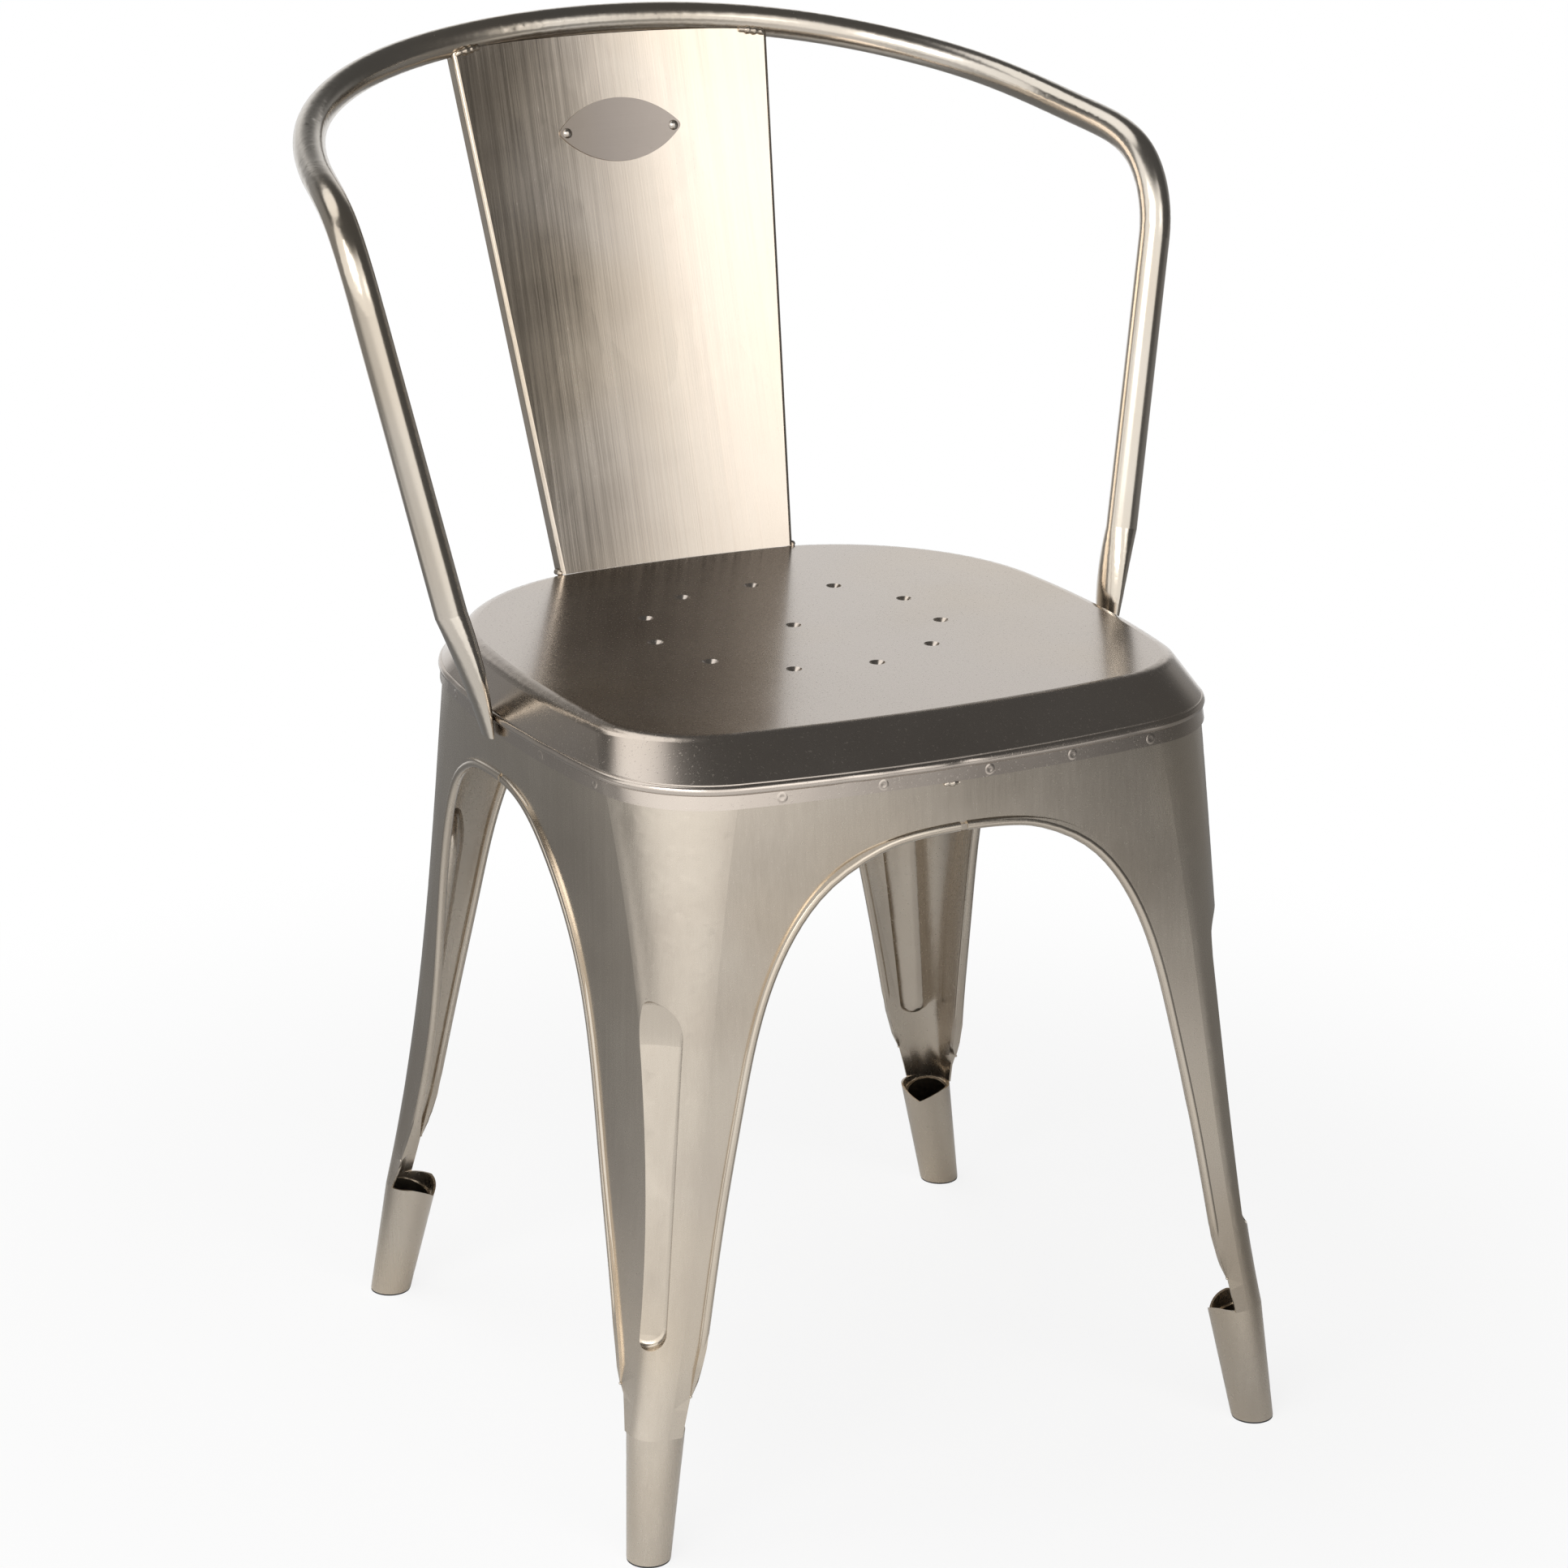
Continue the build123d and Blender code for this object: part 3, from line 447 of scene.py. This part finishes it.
# %% [markdown]
# A steel material is a metal shader with a thin coat of lacquer over it, fed by the group.
# The numbers that are the same all over a piece, such as its coat, are set on the shader itself.

# %% A lacquered steel
COAT_ROUGHNESS = 0.12
RELIEF_STRENGTH = 0.25
RELIEF_DEPTH = 0.0004


def steel(name, light, dark, brush, roughness, streaks, specks, coat):
    """A lacquered steel: the brushed group feeds colour, roughness and bump."""
    made = bpy.data.materials.new(name)
    made.use_nodes = True
    tree = made.node_tree
    shader = tree.nodes["Principled BSDF"]
    shader.inputs["Metallic"].default_value = 1.0
    shader.inputs["Coat Weight"].default_value = coat
    shader.inputs["Coat Roughness"].default_value = COAT_ROUGHNESS
    where = add_node(tree, "ShaderNodeTexCoord", (-900, 0))
    finish = add_node(tree, "ShaderNodeGroup", (-500, 0), node_tree=BRUSHED)
    tree.links.new(where.outputs["Object"], finish.inputs["Coords"])
    finish.inputs["Brush"].default_value = brush
    finish.inputs["Light"].default_value = (*light, 1)
    finish.inputs["Dark"].default_value = (*dark, 1)
    finish.inputs["Roughness"].default_value = roughness
    finish.inputs["Streaks"].default_value = streaks
    finish.inputs["Specks"].default_value = specks
    bump = add_node(tree, "ShaderNodeBump", (-200, -200))
    bump.inputs["Strength"].default_value = RELIEF_STRENGTH
    bump.inputs["Distance"].default_value = RELIEF_DEPTH
    tree.links.new(finish.outputs["Height"], bump.inputs["Height"])
    tree.links.new(finish.outputs["Color"], shader.inputs["Base Color"])
    tree.links.new(finish.outputs["Roughness"], shader.inputs["Roughness"])
    tree.links.new(bump.outputs["Normal"], shader.inputs["Normal"])
    return made


print("a steel has relief of", RELIEF_DEPTH * 1000, "mm")

# %% [markdown]
# Each kind of piece was brushed its own way: the legs and the splat from top to bottom, the seat from front
# to back, the flat bars along their length. Tubes, pins and welds have no one direction.
# The splat shows the strongest streaks, the seat hardly any but the most specks, and the plate is satin.

# %% Steels of the chair
ALONG_Z = (520, 520, 5)
ALONG_SPLAT = (520, 4, 4)
ALONG_Y = (520, 6, 520)
ALONG_X = (6, 520, 520)
ROUND = (260, 260, 260)
leg_steel = steel("leg_steel", light=(0.60, 0.54, 0.46), dark=(0.46, 0.40, 0.33), brush=ALONG_Z,
                  roughness=0.25, streaks=0.06, specks=0.04, coat=0.2)
splat_steel = steel("splat_steel", light=(0.62, 0.55, 0.47), dark=(0.42, 0.36, 0.30), brush=ALONG_SPLAT,
                    roughness=0.21, streaks=0.16, specks=0.02, coat=0.2)
seat_steel = steel("seat_steel", light=(0.56, 0.50, 0.44), dark=(0.44, 0.38, 0.33), brush=ALONG_Y,
                   roughness=0.22, streaks=0.03, specks=0.12, coat=0.3)
tube_steel = steel("tube_steel", light=(0.58, 0.53, 0.47), dark=(0.46, 0.42, 0.36), brush=ROUND,
                   roughness=0.20, streaks=0.03, specks=0.05, coat=0.3)
bar_steel = steel("bar_steel", light=(0.46, 0.43, 0.40), dark=(0.33, 0.31, 0.29), brush=ALONG_X,
                  roughness=0.40, streaks=0.10, specks=0.08, coat=0.1)
pin_steel = steel("pin_steel", light=(0.55, 0.50, 0.45), dark=(0.42, 0.38, 0.34), brush=ROUND,
                  roughness=0.25, streaks=0.05, specks=0.05, coat=0.2)
plate_steel = steel("plate_steel", light=(0.38, 0.33, 0.29), dark=(0.30, 0.26, 0.23), brush=ALONG_X,
                    roughness=0.34, streaks=0.06, specks=0.06, coat=0.1)
weld_steel = steel("weld_steel", light=(0.56, 0.50, 0.43), dark=(0.34, 0.29, 0.24), brush=ROUND,
                   roughness=0.30, streaks=0.12, specks=0.10, coat=0.2)
print("steel materials:", sum(1 for m in bpy.data.materials if m.use_nodes and "Group" in m.node_tree.nodes))

# %% [markdown]
# The plugs in the feet are black moulded rubber: matte, a little mottled, with a fine pebbled skin.
# Only the plugs use it, so one noise in the material itself is enough for both the mottle and the skin.

# %% Rubber for the foot plugs
RUBBER_DARK, RUBBER_PALE = (0.018, 0.018, 0.018, 1), (0.05, 0.05, 0.05, 1)
RUBBER_ROUGHNESS = 0.75
PEBBLE_SCALE = 400.0
PEBBLE_STRENGTH = 0.2
PEBBLE_DEPTH = 0.0005
plug_rubber = bpy.data.materials.new("plug_rubber")
plug_rubber.use_nodes = True
rubber_tree = plug_rubber.node_tree
rubber_shader = rubber_tree.nodes["Principled BSDF"]
rubber_shader.inputs["Roughness"].default_value = RUBBER_ROUGHNESS
rubber_place = add_node(rubber_tree, "ShaderNodeTexCoord")
pebbles = add_node(rubber_tree, "ShaderNodeTexNoise")
pebbles.inputs["Scale"].default_value = PEBBLE_SCALE
mottle = add_node(rubber_tree, "ShaderNodeValToRGB")
mottle.color_ramp.elements[0].color = RUBBER_DARK
mottle.color_ramp.elements[1].color = RUBBER_PALE
skin_bump = add_node(rubber_tree, "ShaderNodeBump")
skin_bump.inputs["Strength"].default_value = PEBBLE_STRENGTH
skin_bump.inputs["Distance"].default_value = PEBBLE_DEPTH
rubber_tree.links.new(rubber_place.outputs["Object"], pebbles.inputs["Vector"])
rubber_tree.links.new(pebbles.outputs["Fac"], mottle.inputs["Fac"])
rubber_tree.links.new(mottle.outputs["Color"], rubber_shader.inputs["Base Color"])
rubber_tree.links.new(pebbles.outputs["Fac"], skin_bump.inputs["Height"])
rubber_tree.links.new(skin_bump.outputs["Normal"], rubber_shader.inputs["Normal"])
print("rubber:", plug_rubber.name)

# %% [markdown]
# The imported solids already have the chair's shapes, so they only change their material.
# A list of names and finishes does it in one loop, and shows at a glance which piece is made of what.

# %% Dress the nodes
CORNERS = ("front_left", "front_right", "rear_left", "rear_right")
FINISH = {"seat_pan": seat_steel, "back_splat": splat_steel, "back_hoop": tube_steel,
          "name_plate": plate_steel, "plate_rivets": pin_steel, "brace_rivet": pin_steel,
          "brace_lower": bar_steel, "brace_upper": bar_steel}
for corner in CORNERS:
    FINISH["leg_" + corner] = leg_steel
    FINISH["foot_sleeve_" + corner] = tube_steel
    FINISH["foot_plug_" + corner] = plug_rubber
for name, finish in FINISH.items():
    nodes[name].data.materials.clear()
    nodes[name].data.materials.append(finish)
print("dressed", len(FINISH), "of", len(nodes), "nodes")

# %% [markdown]
# Some edges of the chair are rolled: the sheet is curled over, so that it is stiff and safe to touch.
# A curl is a long round bar that follows an edge, and so is a weld bead.
# It could be swept by hand, ring by ring, but a curve with a round bevel makes such a bar in one go.
# The curve is then turned into a mesh, whose size is known at once.

# %% Helpers for bars
BAR_ROUNDNESS = 4


def bar_along(name, points, radius, swell=None, closed=False):
    """A round bar along points, as a mesh. swell gives its thickness at each point, 1 if left out."""
    curve = bpy.data.curves.new(name, "CURVE")
    curve.dimensions = "3D"
    curve.bevel_depth = radius
    curve.bevel_resolution = BAR_ROUNDNESS
    curve.use_fill_caps = not closed
    line = curve.splines.new("POLY")
    line.points.add(len(points) - 1)
    for index, point in enumerate(points):
        line.points[index].co = (*point, 1)
        line.points[index].radius = swell[index] if swell else 1.0
    line.use_cyclic_u = closed
    guide = bpy.data.objects.new(name + "_guide", curve)
    mesh = bpy.data.meshes.new_from_object(guide)
    mesh.name = name
    mesh.materials.clear()
    bpy.data.objects.remove(guide)
    bpy.data.curves.remove(curve)
    return mesh


def keep(name, mesh, finish):
    """Show a mesh as a smooth piece with a finish, and let it ride with the chair."""
    for face in mesh.polygons:
        face.use_smooth = True
    mesh.materials.append(finish)
    piece = bpy.data.objects.new(name, mesh)
    scene.collection.objects.link(piece)
    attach(piece, "root")


print("bars have", 4 + 2 * BAR_ROUNDNESS, "sides")

# %% [markdown]
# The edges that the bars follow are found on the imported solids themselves, by shooting rays at them,
# so each bar sits on its sheet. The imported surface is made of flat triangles, and its hits jump a little
# from one to the next, so a line of hits is averaged before a bar is laid along it.

# %% Helpers for rays
def surface_of(name):
    """A search tree of one node's surface."""
    mesh = nodes[name].data
    return BVHTree.FromPolygons([v.co for v in mesh.vertices], [p.vertices for p in mesh.polygons])


def smoothed(values, passes, closed=False):
    """Values with small bumps averaged away. The ends of an open line stay."""
    count = len(values)
    for _ in range(passes):
        soft = [(values[i - 1] + 2 * values[i] + values[(i + 1) % count]) / 4 for i in range(count)]
        values = soft if closed else values[:1] + soft[1:-1] + values[-1:]
    return values


print("triangles in the seat:", sum(len(p.vertices) - 2 for p in nodes["seat_pan"].data.polygons))

# %% [markdown]
# Where the sloping wall of the seat meets its band, the press leaves a rounded bead all the way round.
# It could follow the seat's outline by formula, but the corners are not plain arcs,
# so rays from all round find the wall, and the averaged line of their hits carries a thin bar sunk into it.

# %% Bead round the seat
MM = 0.001
seat = surface_of("seat_pan")
SEAT_MIDDLE_Y = -0.035
BEAD_Z = 417.6 * MM
BEAD_R = 2.9 * MM
BEAD_SINK = 2.1 * MM
BEAD_STEPS = 360
BEAD_PASSES = 4
OUTSIDE = 0.6
bead_middle = Vector((0, SEAT_MIDDLE_Y, BEAD_Z))
outward = [Vector((math.cos(turn), math.sin(turn), 0)) for turn in turns(BEAD_STEPS)]
reach = [OUTSIDE - seat.ray_cast(bead_middle + out * OUTSIDE, -out)[3] for out in outward]
reach = smoothed(reach, BEAD_PASSES, closed=True)
bead_line = [bead_middle + out * (r - BEAD_SINK) for out, r in zip(outward, reach)]
keep("seat_bead", bar_along("seat_bead", bead_line, BEAD_R, closed=True), seat_steel)
print("bead of", BEAD_STEPS, "points, widest", round(max(reach) * 1000, 1), "mm from the middle")

# %% [markdown]
# The edge of each arch is curled from the seam in the middle of the apron down to the foot.
# To follow it, a ray is shot at the leg from outside. Where it meets sheet, the place is beside the arch,
# and where it meets nothing, it is inside the arch, so halving the stretch between finds the edge.
# Near the top of an arch its edge is level, so there the search runs upwards,
# and further down it runs across.

# %% Search for an arch edge
ARCH_TOP = 0.381
TOP_STEPS = 12
TOP_FIRST, TOP_STEP = 2 * MM, 4 * MM
TOP_LOW, TOP_HIGH = 0.30, ARCH_TOP + 0.006
SIDE_FIRST, SIDE_STEP = 0.004, 0.006
SIDE_END = 0.096
SIDE_BACK, SIDE_AHEAD = 0.004, 0.03
HALVINGS = 14


def first_hit(test, low, high):
    """The place between low and high from which on a test holds."""
    for _ in range(HALVINGS):
        middle = (low + high) / 2
        if test(middle):
            high = middle
        else:
            low = middle
    return high


def arch_edge(hit):
    """Points (distance from the seam, height) on an arch edge, from the seam down to the foot."""
    edge = []
    for i in range(TOP_STEPS):
        u = TOP_FIRST + TOP_STEP * i
        edge.append((u, first_hit(lambda z: hit(u, z), TOP_LOW, TOP_HIGH)))
    z = edge[-1][1] - SIDE_FIRST
    while z > SIDE_END:
        last = edge[-1][0]
        edge.append((first_hit(lambda u: hit(u, z), last - SIDE_BACK, last + SIDE_AHEAD), z))
        z -= SIDE_STEP
    return edge


print("each place is found to", round((SIDE_BACK + SIDE_AHEAD) / 2 ** HALVINGS / MM, 4), "mm")

# %% [markdown]
# Every leg has two arch edges: one on the end of the chair, front or rear, and one on its side.
# The same search serves all eight, with rays that come from outside at that face.
# Each line lies half a rim's width beside the edge, and a little inside the sheet, so that no gap shows.

# %% Lines for the curls
SEAM_Y = -0.042
RAY_START = 0.5
RAY_LENGTH = {"end": 0.38, "side": 0.36}
RIM_HALF = 1.6 * MM
CURL_SINK = 2.2 * MM
CURL_PASSES = 3


def corner_sides(corner):
    """Which way a corner lies along X and along Y, as -1 or 1."""
    return -1 if "left" in corner else 1, -1 if "front" in corner else 1


def ray_at(corner, face, u, z):
    """Start and direction of a ray from outside at one face of a leg, u from the seam and z up."""
    x_side, y_side = corner_sides(corner)
    if face == "end":
        return Vector((x_side * u, y_side * RAY_START, z)), Vector((0, -y_side, 0))
    return Vector((x_side * RAY_START, SEAM_Y + y_side * u, z)), Vector((-x_side, 0, 0))


def curl_line(corner, face):
    """Points along one arch edge of a leg, a little inside its sheet."""
    skin = surface_of("leg_" + corner)
    inward = ray_at(corner, face, 0, 0)[1]

    def met_at(u, z):
        """Where the ray meets the leg, or None."""
        return skin.ray_cast(*ray_at(corner, face, u, z), RAY_LENGTH[face])[0]

    edge = arch_edge(lambda u, z: met_at(u, z) is not None)
    line = []
    for i, (u, z) in enumerate(edge):
        u0, z0 = edge[max(i - 1, 0)]
        u1, z1 = edge[min(i + 1, len(edge) - 1)]
        run = math.hypot(u1 - u0, z1 - z0)
        met = met_at(u - (z1 - z0) / run * RIM_HALF, z + (u1 - u0) / run * RIM_HALF)
        if met is not None:
            line.append(met + inward * CURL_SINK)
    return smoothed(line, CURL_PASSES)


print("rays start", RAY_START, "m from the middle")

# %% [markdown]
# The curls themselves are bars along those lines. A bar of one thickness would end in a stump,
# so each one thins out over its last points, where it runs into the foot.

# %% Curls along the arches
CURL_R = 2.75 * MM
CURL_THIN, CURL_GROW = 0.35, 0.13
for corner in CORNERS:
    for face in ("end", "side"):
        line = curl_line(corner, face)
        swell = [min(1.0, CURL_THIN + CURL_GROW * i) for i in reversed(range(len(line)))]
        name = "curl_" + face + "_" + corner
        keep(name, bar_along(name, line, CURL_R, swell), leg_steel)
        print(name, len(line), "points")

# %% [markdown]
# On the real legs each curl dies out smoothly where the sheet closes round the foot.
# The imported legs end their curls in small round knobs, so each leg is shown by a copy of its mesh
# whose knobs are drawn in towards their middles. The imported leg itself stays for collisions,
# hidden.

# %% Legs with drawn-in curl ends
KNOB_Z = 0.092
KNOB_ON_END = {"front": 0.1676, "rear": 0.1646}
KNOB_ON_SIDE = {"front": 0.1626, "rear": 0.1636}
KNOB_NEAR = 4.6 * MM
KNOB_REACH = 4.3 * MM
KNOB_DEEP = 8 * MM
KNOB_MIDDLE = 3.6 * MM
KNOB_SMALL_R = 0.8 * MM


def draw_in_knob(mesh, along, out, side, place):
    """Shrink the knob at one end of a curl. along and out are axis numbers, side is -1 or 1 along out."""
    close = [v for v in mesh.vertices if math.hypot(v.co[along] - place, v.co.z - KNOB_Z) < KNOB_NEAR]
    outer = max(v.co[out] * side for v in close)
    middle = Vector((0, 0, KNOB_Z))
    middle[along] = place
    middle[out] = side * (outer - KNOB_MIDDLE)
    knob = [v for v in close if v.co[out] * side > outer - KNOB_DEEP
            and KNOB_SMALL_R < (v.co - middle).length < KNOB_REACH]
    for v in knob:
        arm = v.co - middle
        v.co = middle + arm * (KNOB_SMALL_R / arm.length)
    return len(knob)


for corner in CORNERS:
    x_side, y_side = corner_sides(corner)
    half = corner.split("_")[0]
    mesh = nodes["leg_" + corner].data.copy()
    mesh.name = "skin_leg_" + corner
    moved = draw_in_knob(mesh, 0, 1, y_side, x_side * KNOB_ON_END[half])
    moved += draw_in_knob(mesh, 1, 0, x_side, SEAM_Y + y_side * KNOB_ON_SIDE[half])
    skin_leg = bpy.data.objects.new("skin_leg_" + corner, mesh)
    scene.collection.objects.link(skin_leg)
    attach(skin_leg, "root")
    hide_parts("leg_" + corner)
    print(skin_leg.name, "points drawn in:", moved)

# %% [markdown]
# The chair is held together by welds. Short beads tie the splat to the tube above it and to the seat below.
# A plain bar would look like wire, so the bead's thickness ripples, as the molten drops of a weld do,
# and fades at both ends.

# %% Weld bead
WELD_THIN, WELD_PAD = 0.45, 0.6
RIPPLE, RIPPLE_TURN = 0.22, 1.9


def weld_bead(name, points, radius, finish):
    """A rippled bead along points, thin at both ends."""
    count = len(points)
    fade = [math.sin(math.pi * (i + WELD_PAD) / (count - 1 + 2 * WELD_PAD)) for i in range(count)]
    swell = [(WELD_THIN + (1 - WELD_THIN) * fade[i]) * (1 + RIPPLE * math.sin(RIPPLE_TURN * i))
             for i in range(count)]
    keep(name, bar_along(name, points, radius, swell), finish)
    print(name, count, "points")


print("a bead ripples by", round(100 * RIPPLE), "percent")

# %% [markdown]
# At the top the bead fills the corner between the splat's face and the underside of the hoop.
# The splat's face is found by a ray from the front, the hoop's underside by a ray from below,
# and the lean of the splat carries the one up to the other.

# %% Line of the weld at the splat's top
WELD_STEP = 1.3 * MM
TOP_WELD_COUNT, TOP_WELD_X = 13, 84 * MM
TOP_WELD_Z, HOOP_BELOW_Z = 0.715, 0.70
HOOP_BEHIND = 7.0 * MM
SPLAT_LEAN = 0.31
TOP_WELD_FORWARD, TOP_WELD_DROP = 0.5 * MM, 0.6 * MM
splat = surface_of("back_splat")
hoop = surface_of("back_hoop")


def splat_top_line(side):
    """Points along the corner between the splat's front and the underside of the hoop."""
    line = []
    for i in range(TOP_WELD_COUNT):
        x = side * (TOP_WELD_X + WELD_STEP * i)
        front = splat.ray_cast(Vector((x, -OUTSIDE, TOP_WELD_Z)), Vector((0, 1, 0)))[0]
        if front is None:
            continue
        under = hoop.ray_cast(Vector((x, front.y + HOOP_BEHIND, HOOP_BELOW_Z)), Vector((0, 0, 1)))[0]
        if under is not None:
            y = front.y + SPLAT_LEAN * (under.z - TOP_WELD_Z) - TOP_WELD_FORWARD
            line.append((x, y, under.z - TOP_WELD_DROP))
    return line


print("top weld:", len(splat_top_line(1)), "points on each side")

# %% [markdown]
# At the foot the bead runs along the folded side of the splat, where it stands on the seat.
# Rays from the side find the fold, and the bead lies at the height of the seat.
# With both lines known, the four beads of the splat are laid, thicker at the top than at the foot.

# %% Welds of the splat
TOP_WELD_R, FOOT_WELD_R = 2.2 * MM, 1.9 * MM
FOOT_WELD_COUNT, FOOT_WELD_Y = 10, 127 * MM
FOOT_RAY_X, FOOT_RAY_Z = 0.3, 0.4428
FOOT_WELD_Z, FOOT_WELD_OUT = 0.4406, 0.3 * MM


def splat_foot_line(side):
    """Points along the foot of one side flange of the splat, on the seat."""
    line = []
    for i in range(FOOT_WELD_COUNT):
        start = Vector((side * FOOT_RAY_X, FOOT_WELD_Y + WELD_STEP * i, FOOT_RAY_Z))
        met = splat.ray_cast(start, Vector((-side, 0, 0)))[0]
        if met is not None:
            line.append((met.x + side * FOOT_WELD_OUT, met.y, FOOT_WELD_Z))
    return line


for side, word in ((-1, "left"), (1, "right")):
    weld_bead("weld_splat_top_" + word, splat_top_line(side), TOP_WELD_R, weld_steel)
    weld_bead("weld_splat_foot_" + word, splat_foot_line(side), FOOT_WELD_R, weld_steel)

# %% [markdown]
# At the front and at the rear the two halves of the apron meet in a seam, which a small blob of weld closes
# just under the band. It could be a ball, but the arc was drawn along for a few drops,
# so it is a short bead that wanders up and down, brushed and lacquered with the legs.

# %% Seam blobs
SEAM_WELD_R, SEAM_WELD_COUNT, SEAM_WELD_X = 1.6 * MM, 8, -11 * MM
SEAM_RAY_Z, SEAM_WELD_Z = 0.4062, 0.4066
SEAM_WELD_OUT = 0.1 * MM
WANDER, WANDER_TURN = 0.4 * MM, 3
for half, y_side in (("front", -1), ("rear", 1)):
    leg = surface_of("leg_" + half + "_left")
    line = []
    for i in range(SEAM_WELD_COUNT):
        start = Vector((SEAM_WELD_X + WELD_STEP * i, y_side * RAY_START, SEAM_RAY_Z))
        met = leg.ray_cast(start, Vector((0, -y_side, 0)))[0]
        if met is not None:
            line.append((met.x, met.y + y_side * SEAM_WELD_OUT, SEAM_WELD_Z + WANDER * (i % WANDER_TURN)))
    weld_bead("weld_seam_" + half, line, SEAM_WELD_R, leg_steel)

# %% [markdown]
# Round spot marks show where the band was pressed and welded on to the legs.
# They could be a bump in the material, but a real dent catches the light on its rim.
# So each mark is a small disc of rings, given as radius and height above the band in millimetres:
# a flat middle, a raised rim, and an outer ring that dips just under the sheet.

# %% Shape of a spot mark
MARK_RINGS = ((0.3, 0.05), (1.0, 0.07), (1.6, 0.16), (2.3, 0.14), (3.2, -0.04))
MARK_SIDES = 18


def mark_points(met, normal):
    """The rings of one mark, round a place on the band."""
    across = normal.cross(Vector((0, 0, 1))).normalized()
    over = normal.cross(across)
    points = []
    for r, h in MARK_RINGS:
        for turn in turns(MARK_SIDES):
            spoke = across * math.cos(turn) + over * math.sin(turn)
            points.append(met + spoke * r * MM + normal * h * MM)
    return points


def mark_faces(first):
    """The faces of one mark whose points start at a number."""
    faces = []
    for inner in range(first, first + (len(MARK_RINGS) - 1) * MARK_SIDES, MARK_SIDES):
        for k in range(MARK_SIDES):
            a, b = inner + k, inner + (k + 1) % MARK_SIDES
            faces.append((a, b, b + MARK_SIDES, a + MARK_SIDES))
    faces.append(tuple(first + k for k in reversed(range(MARK_SIDES))))
    return faces


print("a mark is", 2 * MARK_RINGS[-1][0], "mm wide")

# %% [markdown]
# The marks sit along the band in uneven steps, because they were set by hand. Their places are in millimetres.
# A ray finds the band's surface at each, and all marks are one mesh, since they are all alike.

# %% Spot marks on the band
MARK_Z = 0.4118
END_MARKS_X = (-104, -47, 16, 68, 120)
SIDE_MARKS_Y = (-150, -95, 25, 78)
mark_rays = []
for x in END_MARKS_X:
    mark_rays += [((x * MM, y_side * RAY_START, MARK_Z), (0, -y_side, 0)) for y_side in (-1, 1)]
for y in SIDE_MARKS_Y:
    mark_rays += [((x_side * RAY_START, y * MM, MARK_Z), (-x_side, 0, 0)) for x_side in (-1, 1)]
points, faces = [], []
for start, aim in mark_rays:
    met, normal, _, _ = seat.ray_cast(Vector(start), Vector(aim))
    if met is not None:
        faces += mark_faces(len(points))
        points += mark_points(met, normal)
mark_mesh = bpy.data.meshes.new("spot_marks")
mark_mesh.from_pydata(points, [], faces)
keep("spot_marks", mark_mesh, seat_steel)
print("spot marks:", len(points) // (len(MARK_RINGS) * MARK_SIDES))
